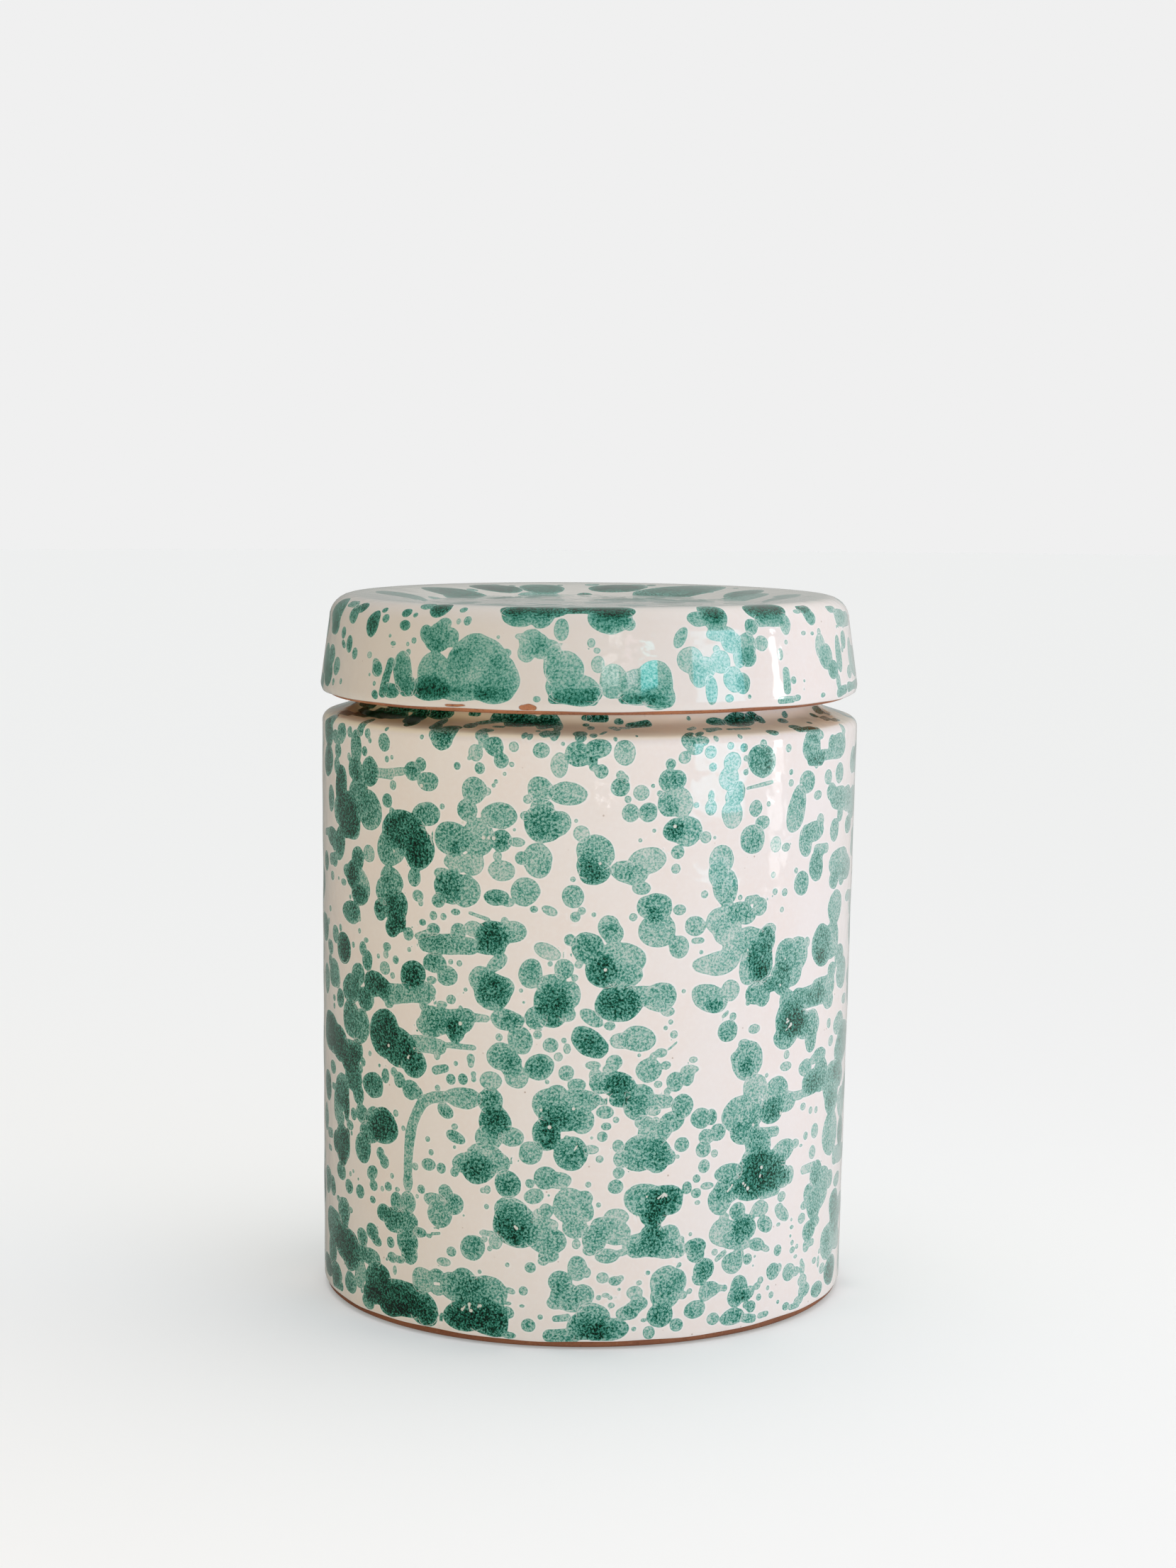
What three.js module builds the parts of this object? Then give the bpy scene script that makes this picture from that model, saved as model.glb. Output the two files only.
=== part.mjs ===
// A lidded storage jar of glazed earthenware. It stands on z = 0 with its axis on z, in millimetres.
// The jar and its lid are fired clay, and glaze is fused to both. Radii and heights are those of the
// finished, glazed surface, unless a comment says clay.

import * as THREE from 'three';

// Jar
const JAR_RADIUS = 70; // wall just below the shoulder
const WALL_TAPER = 1.5; // how much the wall comes in by the foot
const FOOT_INSET = 1.5; // from the wall at the foot in to where the bare foot meets the table
const FOOT_HEIGHT = 1.5; // clay left bare above the table
const FOOT_RING = 8; // width of the ring that the jar stands on
const FOOT_HOLLOW = 1.5; // depth of the hollow inside that ring
const WALL_TOP = 148.8; // height where the wall turns in to the shoulder
const SHOULDER_ROUND = 2.5; // radius between the wall and the shoulder
const SHOULDER_RISE = 17.5; // degrees by which the shoulder slopes up to the neck
const WALL = 5.5; // clay of the wall and of the shoulder
const FLOOR = 6; // clay of the floor
const FLOOR_ROUND = 6; // clay radius between the wall and the floor inside
const SHOULDER_HOLLOW_ROUND = 4; // clay radius under the shoulder inside
const NECK_WALL = 5; // clay of the neck
const NECK_ROOT_ROUND = 5; // clay radius between the shoulder and the neck
const NECK_LIP_ROUND = 3; // clay radius where the shoulder turns up into the neck inside

// Lid
const LID_OVERHANG = 0.3; // how far the lid's widest line stands outside the jar's wall
const LID_TAPER = 2.3; // how much the lid's side comes in by its top edge
const LID_HEIGHT = 26.5; // bare rim to the crest of the top edge
const LID_RIM_ROUND = 4.1; // radius between the bare rim and the side
const LID_RIM_BARE = 50; // degrees of that radius left bare, from the rim up
const LID_EDGE_ROUND = 6.3; // radius between the side and the crest
const LID_WALL = 7.5; // clay of the side, at its widest line
const LID_PLATE = 5; // clay of the top
const LID_HOLLOW_ROUND = 4; // clay radius between the side and the top inside
const LID_INSIDE_BARE = 3; // clay left bare inside, above the rim
const DISH_DEPTH = 2.5; // how far the middle of the top lies below the crest
const DISH_SLOPE = 18; // width of the slope from the crest down to the flat middle

// Fits and glaze
const RIM_ABOVE_WALL = 7.2; // from the top of the wall up to the lid's bare rim
const NECK_CLEARANCE = 1.5; // between the neck and the lid's side
const LID_GAP = 0.3; // between the neck's rim and the lid's underside, which rests on it
const GLAZE = 0.5; // thickness of the glaze
const GLAZE_BED = 0.3; // between the clay and the glaze
const COAT = GLAZE + GLAZE_BED;

const SEGMENTS = 48; // straights round the axis
const ROUND_STEP = 30; // degrees of a round that one straight may take, at most

// Sizes worked out from the ones above. The clay lies one coat below the glazed surface.
const clayRadius = JAR_RADIUS - COAT;
const clayBaseRadius = clayRadius - WALL_TAPER;
const footRadius = JAR_RADIUS - WALL_TAPER - FOOT_INSET;
const floorTop = FOOT_HOLLOW + FLOOR;
const clayShoulderRound = SHOULDER_ROUND - COAT;
const clayShoulderRadius = JAR_RADIUS - SHOULDER_ROUND;

const lidRim = WALL_TOP + RIM_ABOVE_WALL;
const crest = lidRim + LID_HEIGHT;
const clayLidRadius = JAR_RADIUS + LID_OVERHANG - COAT;
const clayLidTopRadius = clayLidRadius - LID_TAPER;
const clayRimRound = LID_RIM_ROUND - COAT;
const clayEdgeRound = LID_EDGE_ROUND - COAT;
const clayCrest = crest - COAT;
const clayCrestRadius = clayLidTopRadius - clayEdgeRound;
const clayDish = clayCrest - DISH_DEPTH;
const lidInnerRadius = clayLidRadius - LID_WALL;
const lidUnderside = clayDish - LID_PLATE;

const clayNeckRadius = lidInnerRadius - COAT - NECK_CLEARANCE - COAT;
const neckInnerRadius = clayNeckRadius - NECK_WALL;
const clayNeckTop = lidUnderside - COAT - LID_GAP - COAT;
const neckRimRound = NECK_WALL / 2;

function point(radius, height) {
  return new THREE.Vector2(radius, height);
}

// Points along a round about a centre, between two angles in degrees from the outward direction.
function round(radius, height, roundRadius, fromAngle, toAngle) {
  const steps = Math.ceil(Math.abs(toAngle - fromAngle) / ROUND_STEP);
  const points = [];
  for (let i = 0; i <= steps; i += 1) {
    const angle = THREE.MathUtils.degToRad(fromAngle + (toAngle - fromAngle) * i / steps);
    points.push(point(radius + roundRadius * Math.cos(angle), height + roundRadius * Math.sin(angle)));
  }
  return points;
}

// The height of a point on a line that runs beside the shoulder's slope. The slope touches a round
// about the shoulder's centre, and the line lies this far outside that centre.
function besideShoulder(radius, distance) {
  const rise = THREE.MathUtils.degToRad(SHOULDER_RISE);
  return WALL_TOP + (distance - (radius - clayShoulderRadius) * Math.sin(rise)) / Math.cos(rise);
}

// The line that runs a distance outside a profile, with its sides kept parallel. The outside is to
// the right of the way the profile runs, and a point on the axis stays there.
function outside(profile, distance) {
  const normals = [];
  for (let i = 1; i < profile.length; i += 1) {
    const along = profile[i].clone().sub(profile[i - 1]).normalize();
    normals.push(point(along.y, -along.x));
  }
  return profile.map((corner, i) => {
    const before = normals[Math.max(i - 1, 0)];
    const after = normals[Math.min(i, normals.length - 1)];
    const reach = distance / (1 + before.dot(after));
    const moved = corner.clone().add(before.clone().add(after).multiplyScalar(reach));
    if (corner.x === 0) {
      moved.x = 0;
    }
    return moved;
  });
}

// The closed outline of the glaze over a stretch of clay that starts or ends on the axis.
function coatOver(clay) {
  const surface = outside(clay, COAT);
  const bed = outside(clay, GLAZE_BED).reverse();
  return clay[0].x === 0 ? [...surface, ...bed] : [...bed, ...surface];
}

// The foot and the underside, which stay bare: from the axis out to the lower edge of the glaze.
function jarBareClay() {
  return [
    point(0, FOOT_HOLLOW),
    point(footRadius - FOOT_RING - FOOT_HOLLOW, FOOT_HOLLOW),
    point(footRadius - FOOT_RING, 0),
    point(footRadius, 0),
    point(clayBaseRadius, FOOT_HEIGHT / 2),
  ];
}

// The glazed clay: up the wall, over the shoulder, the neck and its rim, and down inside to the floor.
function jarGlazedClay() {
  const hollowRadius = clayRadius - WALL;
  const baseHollowRadius = clayBaseRadius - WALL;
  const rootRadius = clayNeckRadius + NECK_ROOT_ROUND;
  const rootHeight = besideShoulder(rootRadius, clayShoulderRound + NECK_ROOT_ROUND);
  const lipRadius = neckInnerRadius + NECK_LIP_ROUND;
  const lipHeight = besideShoulder(lipRadius, clayShoulderRound - WALL + NECK_LIP_ROUND);
  const hollowRoundRadius = hollowRadius - SHOULDER_HOLLOW_ROUND;
  const hollowRoundHeight = besideShoulder(hollowRoundRadius, clayShoulderRound - WALL - SHOULDER_HOLLOW_ROUND);
  return [
    point(clayBaseRadius, FOOT_HEIGHT),
    ...round(clayShoulderRadius, WALL_TOP, clayShoulderRound, 0, 90 - SHOULDER_RISE),
    ...round(rootRadius, rootHeight, NECK_ROOT_ROUND, 270 - SHOULDER_RISE, 180),
    ...round(clayNeckRadius - neckRimRound, clayNeckTop - neckRimRound, neckRimRound, 0, 180),
    ...round(lipRadius, lipHeight, NECK_LIP_ROUND, 180, 270 - SHOULDER_RISE),
    ...round(hollowRoundRadius, hollowRoundHeight, SHOULDER_HOLLOW_ROUND, 90 - SHOULDER_RISE, 0),
    ...round(baseHollowRadius - FLOOR_ROUND, floorTop + FLOOR_ROUND, FLOOR_ROUND, 0, -90),
    point(0, floorTop),
  ];
}

// The lid's hollow, glazed from its middle out and down to just above the rim.
function lidHollowClay() {
  return [
    point(0, lidUnderside),
    ...round(lidInnerRadius - LID_HOLLOW_ROUND, lidUnderside - LID_HOLLOW_ROUND, LID_HOLLOW_ROUND, 90, 0),
    point(lidInnerRadius, lidRim + LID_INSIDE_BARE),
  ];
}

// The rim that the lid stands on, bare from inside round to where the outer glaze stops.
function lidBareClay() {
  const centreRadius = clayLidRadius - clayRimRound;
  const centreHeight = lidRim + clayRimRound;
  const bareRound = round(centreRadius, centreHeight, clayRimRound, -90, LID_RIM_BARE - 90);
  return [point(lidInnerRadius, lidRim), ...bareRound.slice(0, -1)];
}

// The outside of the lid: up the side, over the edge and down into the dished top.
function lidGlazedClay() {
  const centreRadius = clayLidRadius - clayRimRound;
  const centreHeight = lidRim + clayRimRound;
  const slope = new THREE.CubicBezierCurve(
    point(clayCrestRadius, clayCrest),
    point(clayCrestRadius - DISH_SLOPE / 2, clayCrest),
    point(clayCrestRadius - DISH_SLOPE / 2, clayDish),
    point(clayCrestRadius - DISH_SLOPE, clayDish),
  );
  const slopeSteps = 4;
  return [
    ...round(centreRadius, centreHeight, clayRimRound, LID_RIM_BARE - 90, 0),
    ...round(clayCrestRadius, clayCrest - clayEdgeRound, clayEdgeRound, 0, 90),
    ...slope.getPoints(slopeSteps).slice(1),
    point(0, clayDish),
  ];
}

const terracotta = new THREE.MeshStandardMaterial({ color: 0xb86f50, roughness: 0.85, metalness: 0 });
const splashedGlaze = new THREE.MeshStandardMaterial({ color: 0xc9cdbc, roughness: 0.12, metalness: 0 });
const creamGlaze = new THREE.MeshStandardMaterial({ color: 0xe4dacd, roughness: 0.15, metalness: 0 });

// A turned piece: its profile runs once round the axis, which is then stood up on z.
function turned(name, profile, material) {
  const geometry = new THREE.LatheGeometry(profile, SEGMENTS);
  geometry.rotateX(Math.PI / 2);
  const mesh = new THREE.Mesh(geometry, material);
  mesh.name = name;
  return mesh;
}

const jar = new THREE.Group();
jar.add(turned('jar_body', [...jarBareClay(), ...jarGlazedClay()], terracotta));
jar.add(turned('jar_glaze', coatOver(jarGlazedClay()), splashedGlaze));

const lid = new THREE.Group();
lid.add(turned('lid_body', [...lidHollowClay(), ...lidBareClay(), ...lidGlazedClay()], terracotta));
lid.add(turned('lid_glaze', coatOver(lidGlazedClay()), splashedGlaze));
lid.add(turned('lid_inside_glaze', coatOver(lidHollowClay()), creamGlaze));

const liddedJar = new THREE.Group();
liddedJar.add(jar, lid);

export default liddedJar;
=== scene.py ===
"""The looks of a lidded storage jar: earthenware thrown by hand, glazed cream and splashed with green.

Each piece is turned about z from its own profile, in millimetres, and goes to metres in its mesh.
A splash is a round or oval drop of green glaze. Where a splash lies is written as along, the way round
the wall from the front in mm at a radius of 70 mm, to the right positive, and up, the height in mm.
"""
import math
import bpy
import numpy as np
from mathutils import Matrix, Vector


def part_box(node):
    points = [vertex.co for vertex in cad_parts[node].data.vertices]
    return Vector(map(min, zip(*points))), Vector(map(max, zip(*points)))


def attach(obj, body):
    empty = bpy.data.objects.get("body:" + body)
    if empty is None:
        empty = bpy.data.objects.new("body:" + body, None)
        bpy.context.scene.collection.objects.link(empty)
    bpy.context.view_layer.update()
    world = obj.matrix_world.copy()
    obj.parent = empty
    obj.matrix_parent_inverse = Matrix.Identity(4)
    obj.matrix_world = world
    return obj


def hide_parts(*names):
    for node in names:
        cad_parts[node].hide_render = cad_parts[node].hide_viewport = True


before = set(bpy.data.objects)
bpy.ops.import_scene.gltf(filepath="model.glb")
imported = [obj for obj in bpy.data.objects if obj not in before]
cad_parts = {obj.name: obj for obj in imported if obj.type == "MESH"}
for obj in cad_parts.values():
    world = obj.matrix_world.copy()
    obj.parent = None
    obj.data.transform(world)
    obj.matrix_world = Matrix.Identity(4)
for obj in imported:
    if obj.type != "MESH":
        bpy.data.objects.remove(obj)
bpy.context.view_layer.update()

MM = 0.001


def reach_of(node):
    """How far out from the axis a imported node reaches, and its lowest and highest point, in mm."""
    low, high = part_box(node)
    return high.x / MM, low.z / MM, high.z / MM


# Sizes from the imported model
JAR_RADIUS, JAR_GLAZE_FOOT, NECK_TOP = reach_of("jar_glaze")
LID_RADIUS, _, CREST = reach_of("lid_glaze")
LID_RIM = reach_of("lid_body")[1]

# Sizes of the finished jar and lid, in mm, that the boxes of the nodes do not give
WALL_TAPER = 1.5
FOOT_INSET = 1.5
FOOT_RING = 8
FOOT_HOLLOW = 1.5
SHOULDER = 148.8
SHOULDER_ROUND = 2.5
SHOULDER_RISE = 17.5
NECK_RADIUS = 59.7
NECK_WALL = 6.6
NECK_ROOT_ROUND = 4.2
NECK_LIP_ROUND = 3.8
WALL = 7.1
HOLLOW_ROUND = 3.2
FLOOR_TOP = 8.3
FLOOR_ROUND = 5.2
LID_TAPER = 2.3
LID_RIM_ROUND = 4.1
LID_RIM_BARE = 50
LID_EDGE_ROUND = 6.3
LID_INNER_RADIUS = 61.2
LID_INNER_FOOT = 159
LID_UNDERSIDE = 173.4
LID_HOLLOW_ROUND = 3.2
DISH_DEPTH = 2.5
DISH_SLOPE = 18
COAT = 0.8

# Where the rounds begin
LID_SHOULDER = CREST - LID_EDGE_ROUND
CREST_RADIUS = LID_RADIUS - LID_TAPER - LID_EDGE_ROUND

# The photographed jar leans a little and its lid is not quite level or centred
JAR_LEAN = -1.45
SHOULDER_TILT = -0.008
LID_ASIDE = -0.14
LID_SLIMMER = 0.15  # keeps the lid's unevenness inside its packed radius
LID_TILT_ACROSS = -0.0015
LID_TILT_BACK = 0.0064
LID_SINK = 0.45

# Unevenness of hand work, as waves round the axis: how high in mm, how many to a turn, and at what angle
# they start
JAR_OFF_ROUND = [(0.10, 2, 0.7), (0.06, 3, 2.1), (0.04, 5, 0.3)]
LID_OFF_ROUND = [(0.06, 2, 1.9), (0.05, 3, 0.4), (0.03, 7, 1.0)]
LID_OFF_LEVEL = [(0.10, 2, 0.2), (0.06, 3, 1.2)]
JAR_GLAZE_WAVES = [(0.12, 9, 0.5), (0.07, 23, 2.0)]
LID_GLAZE_WAVES = [(0.05, 7, 1.0), (0.03, 17, 0.3)]  # as shares of the way down the rim's round

# Camera, in mm and degrees, for a picture of 1659 x 2212 pixels
CAMERA_PLACE = (-0.335, -787.9, 218.8)
CAMERA_PITCH = 6.284
CAMERA_ROLL = 0.2796
PHOTO_HEIGHT = 2212
FOCAL_PIXELS = 4248.0
SENSOR = 36.0

# Meshes: straights round the axis, and the longest step of a profile in mm. Hidden parts are coarser.
COLUMNS = 384
FINE_STEP = 1.2
INSIDE_STEP = 6.0
COARSE_COLUMNS = 192
COARSE_STEP = 5.0

# How deep the underside of the glaze lies, just above the clay, the size of the bead that its edge ends
# in, and how far the corner inside the lid's rim is cut off, in mm
BED = 0.7
LIP = 0.5
CORNER = 0.4

# Splashes are kept in sheets, so that no two near each other share a sheet. Lengths are in mm.
SHEETS = 7
SHEET_GAP = 2.8  # between two drops of a sheet, where there is room
LEAST_GAP = 1.2  # between them at least
FADE = 2.5  # how far outside its edge a drop is written into its sheet
NO_SPLASH = 9.0  # the distance written where there is no drop
SLIM = 2.2  # a drop this many times as long as it is wide has straight sides
ALONG_RADIUS = 70.0
ROUND = 2 * math.pi * ALONG_RADIUS

# How much green each tone of splash holds
TONES = {"pale": 0.78, "soft": 1.15, "mid": 1.7, "rich": 2.5, "deep": 3.8}
LEAST_TONE = 0.6

# Up to this tone a splash is even to its edge. What it holds beyond fades inwards from there. Each edge
# is where the green begins and where it is full, in mm outside the drop.
THIN_TONE = 1.1
THIN_EDGE = (0.9, -0.9)
THICK_EDGE = (1.2, -2.8)
COVER_EDGE = (0.07, -0.09)
MEETING = 0.9  # over this distance two drops run into each other

# How far, in mm, the edge of a drop wanders in long waves and in short ones. A drop of this size or more
# wanders in full.
LONG_WOBBLE = 1.8
SHORT_WOBBLE = 0.5
LONG_WAVES = 130  # to the metre
SHORT_WAVES = 330
WOBBLY_SIZE = 3.0

# In mm outside a drop: its pale halo, the dark outline inside its edge, and the pale ring round it that
# shows in a neighbour's green, near that green's own edge. Then how strong each is.
HALO_EDGE = (0.55, 0.1)
OUTLINE_BEGINS, OUTLINE_ENDS = (0.0, -0.1), (-0.4, -0.15)
RING_BEGINS, RING_ENDS = (0.02, 0.12), (0.32, 0.18)
RING_NEAR_EDGE = (-1.3, -0.5)
HALO = 0.6
OUTLINE = 0.45
RING = 0.5

# The grain of the green: grains and dark spots to the metre, and how deep the grain is on jar and lid
GRAINS = 1850
SPOTS = 640
JAR_GRAIN = 1.0
LID_GRAIN = 0.7

# Clouds, grains and specks of iron in the cream, and grit and patches of the clay, to the metre
CREAM_CLOUDS = 45
CREAM_GRAINS = 900
IRON_SPECKS = 260
SPECKLED_PATCHES = 95
GRIT = 1400
CLAY_PATCHES = 70

# The skin of the glaze: small and large lumps to the metre, and how high in mm these, the green and its
# grain stand, and how deep pinholes and places that the glaze skipped lie
SMALL_LUMPS, SMALL_RISE = 420, 0.03
LARGE_LUMPS, LARGE_RISE = 180, 0.18
GREEN_RISE = 0.045
GRAIN_RISE = 0.012
FLAW_DEPTH = 0.08
SKIP_DEPTH = 0.3

# How rough the cream is, and how much rougher the green, its grain and bare clay make it
CREAM_ROUGHNESS = 0.05
GREEN_ROUGHER = 0.03
GRAIN_ROUGHER = 0.02
CLAY_ROUGHER = 0.6

# Painted shade: the green is drawn deeper on the left, the side away from the light, by this share:
# where that begins and is full, in mm right of the axis
LEFT_PAINTED_SHADE = 0.5
LEFT_SHADE_RANGE = (-10, -68)

# The back's drops are the front's again: where those begin that are taken, how far on their copies lie,
# and the two heights between which they are turned upside down
JAR_BACK = (-100, 192, 2, 148)
LID_BACK = (-108, 205, 156, 184)
BACK_GROWTH = (0.82, 1.12)
BACK_TURN = 25
JAR_SEED = 11
LID_SEED = 23

# Small drops on the lid's top: how many, their least size, the spread above it, and how far out they lie
TOP_DROPS = 110
TOP_DROP_LEAST = 0.7
TOP_DROP_SPREAD = 4.2
TOP_REACH = 58

# Colours of the glazes and the clay
CREAM_COOL = (0.83, 0.81, 0.785, 1)
CREAM_WARM = (0.83, 0.785, 0.745, 1)
CREAM_GRAIN = (0.86, 0.85, 0.83, 1)
CREAM_PALE = (0.88, 0.89, 0.88, 1)
# The next colour is partly pooled glaze and partly painted light, paler than the cream, for the gap
# under the lid
CREAM_POOLED_AND_PAINTED_LIGHT = (0.98, 0.93, 0.76, 1)
# Painted shade on the lid's cream: the next colour for its left side, the one after for its top
CREAM_LID_PAINTED_SHADE = (0.66, 0.645, 0.60, 1)
CREAM_TOP_PAINTED_SHADE = (0.71, 0.71, 0.67, 1)
IRON_SPECK = (0.30, 0.20, 0.14, 1)
PINHOLE = (0.72, 0.76, 0.70, 1)
GREEN_PAINT = (0.80, 0.78, 0.745)
GREEN_TAKES = (1.0, 0.405, 0.485)
CLAY_ORANGE = (0.47, 0.20, 0.095, 1)
CLAY_BROWN = (0.33, 0.13, 0.07, 1)
CLAY_PALE = (0.60, 0.34, 0.20, 1)
CLAY_DARK = (0.16, 0.065, 0.035, 1)

# Studio, in metres. The floor lies a hair under the foot.
FLOOR_SIZE = 6
FLOOR_SINKS = 0.0002
FLOOR_CORNERS = 96
FLOOR_PALE = (0.68, 0.68, 0.68, 1)
FLOOR_GLOW = (0.23, 0.26, 0.265, 1)
BACKDROP = (0.871, 0.871, 0.871, 1)
ROOM_BEHIND_CAMERA = (0.10, 0.10, 0.10, 1)
ROOM_BACK_LEFT = (0.18, 0.20, 0.18, 1)
ROOM_BACK_RIGHT = (0.56, 0.58, 0.57, 1)
LIGHT_SHARPNESS = 7

# Soft lights: degrees round to the right from the camera, degrees up, and brightness by colour
SOFT_LIGHTS = [
    (90, 8, (1.53, 1.28, 0.84)),
    (135, 8, (0.84, 0.89, 0.85)),
    (90, 66, (0.11, 0.20, 0.35)),
    (180, 66, (1.11, 0.81, 0.63)),
    (0, 90, (2.07, 2.18, 2.27)),
]

# Low panels in front, which light the shoulder under the lid: degrees round, and brightness by colour
PANEL_AWAY = 1.0
PANEL_WIDTH = 0.55
PANEL_LOW, PANEL_HIGH = 0.02, 0.30
LOW_PANELS = [
    (-60, (0.55, 0.0, 0.0)),
    (-25, (2.5, 1.8, 0.0)),
    (10, (2.5, 1.5, 0.9)),
    (40, (1.9, 3.3, 5.6)),
    (70, (1.5, 0.3, 0.0)),
]

# What the glaze reflects: degrees round from and to, lowest and highest edge, and brightness by colour
PANE_AWAY = 0.8
REFLECTED_PANES = {
    "tall_window": (80.5, 86, 0.05, 0.295, (12, 12, 12)),
    "window_sill": (80, 88, -0.01, 0.05, (3, 3, 3)),
    "blue_window": (43, 66, 0.023, 0.33, (1.5, 3.6, 4.2)),
    "cyan_pane": (20.8, 27.9, 0.303, 0.324, (1.0, 6.0, 6.6)),
    "pink_pane": (14.8, 19.4, 0.307, 0.326, (3.2, 2.4, 2.8)),
    "white_pane": (4.8, 11.7, 0.309, 0.328, (4.5, 4.5, 4.5)),
    "upper_pane": (6.5, 17, 0.331, 0.343, (1.5, 1.6, 1.7)),
    "low_pane": (2.3, 10.5, 0.055, 0.061, (10, 10, 10)),
}

# A run of glaze that curls down from a splash, as along and up
CURLED_RUN = [
    (-36.5, 61), (-40, 60.5), (-43, 59), (-45, 56), (-46.5, 53), (-47.2, 50), (-47.7, 46.5), (-48, 43),
    (-48, 40),
]
CURLED_RUN_WIDTH = 1.5

# Where glaze pooled and its green is deeper: heights where that begins and is full, and how much deeper
JAR_POOLS = [(12, 3, 0.5), (148.5, 151, 0.6)]
LID_POOLS = [(166, 158, 0.4), (178, 182, 0.7)]

# The cream is yellower and paler in the gap under the lid, partly from pooled glaze and partly as
# painted light standing in for the light that reaches into the gap: heights where that begins and where
# it ends
GAP_FULL = (149.8, 151.2)
GAP_ENDS = (157.5, 153.5)

# Painted shade: the lid's cream is drawn greyer on the left, the side away from the light, by where that
# begins and is full in mm right of the axis
LID_PAINTED_SHADE_LEFT = (55, 5)

# Pinholes in the green, as along and up, and their sizes. The back has the same ones, moved on and up.
PINHOLE_SIZES = (0.26, 0.5)
PINHOLES_ON = 205
PINHOLES_UP = 47
PINHOLES = [
    (-23.3, 126), (3, 120.5), (21.3, 129.2), (-43.7, 137.6), (-31.7, 129.5), (-26, 126), (-53, 120.7),
    (4.7, 94.5), (55.5, 94), (54, 87.5), (42.5, 97.5), (-55, 71.6), (-46, 72), (-48, 69.5), (-51, 68),
    (-51, 66.9), (-37.5, 76.4), (-32, 79.8), (11.9, 67.5), (-2.6, 60.2), (-10.7, 59.7), (-8.5, 55.5),
    (-1.8, 51.4), (-2, 50), (57, 78.5), (58.5, 77), (56.5, 76), (49, 42), (55.5, 54.8), (45.8, 53.2),
    (-29, 9.5), (-28.5, 8), (-26, 9.5), (-31, 8), (-17, 30.3), (-16.5, 29.8), (16, 38), (19, 37.5),
    (20.5, 38.5), (21, 38), (38.2, 37.5), (39.5, 38.8), (43, 38.8), (44.5, 37.3), (48.5, 39.7),
]

# Thin lines where the glaze parted: half the width, then the points as along and up
JAR_PARTINGS = [
    (0.12, [(-39.5, 12.9), (-37.3, 12.9)]), (0.15, [(-38, 9.5), (-38, 4.5)]),
    (0.25, [(-38, 2.8), (-38, 1.6)]), (0.12, [(38, 22.1), (42.5, 22.8)]),
    (0.25, [(5.5, 2.6), (5.5, 1.6)]),
]
LID_PARTINGS = [
    (0.15, [(-36.5, 167), (-36.5, 170.5)]), (0.12, [(0, 167), (2, 163), (4, 160.5), (7, 158.5)]),
]
PARTING_TONE = 0.75

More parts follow.
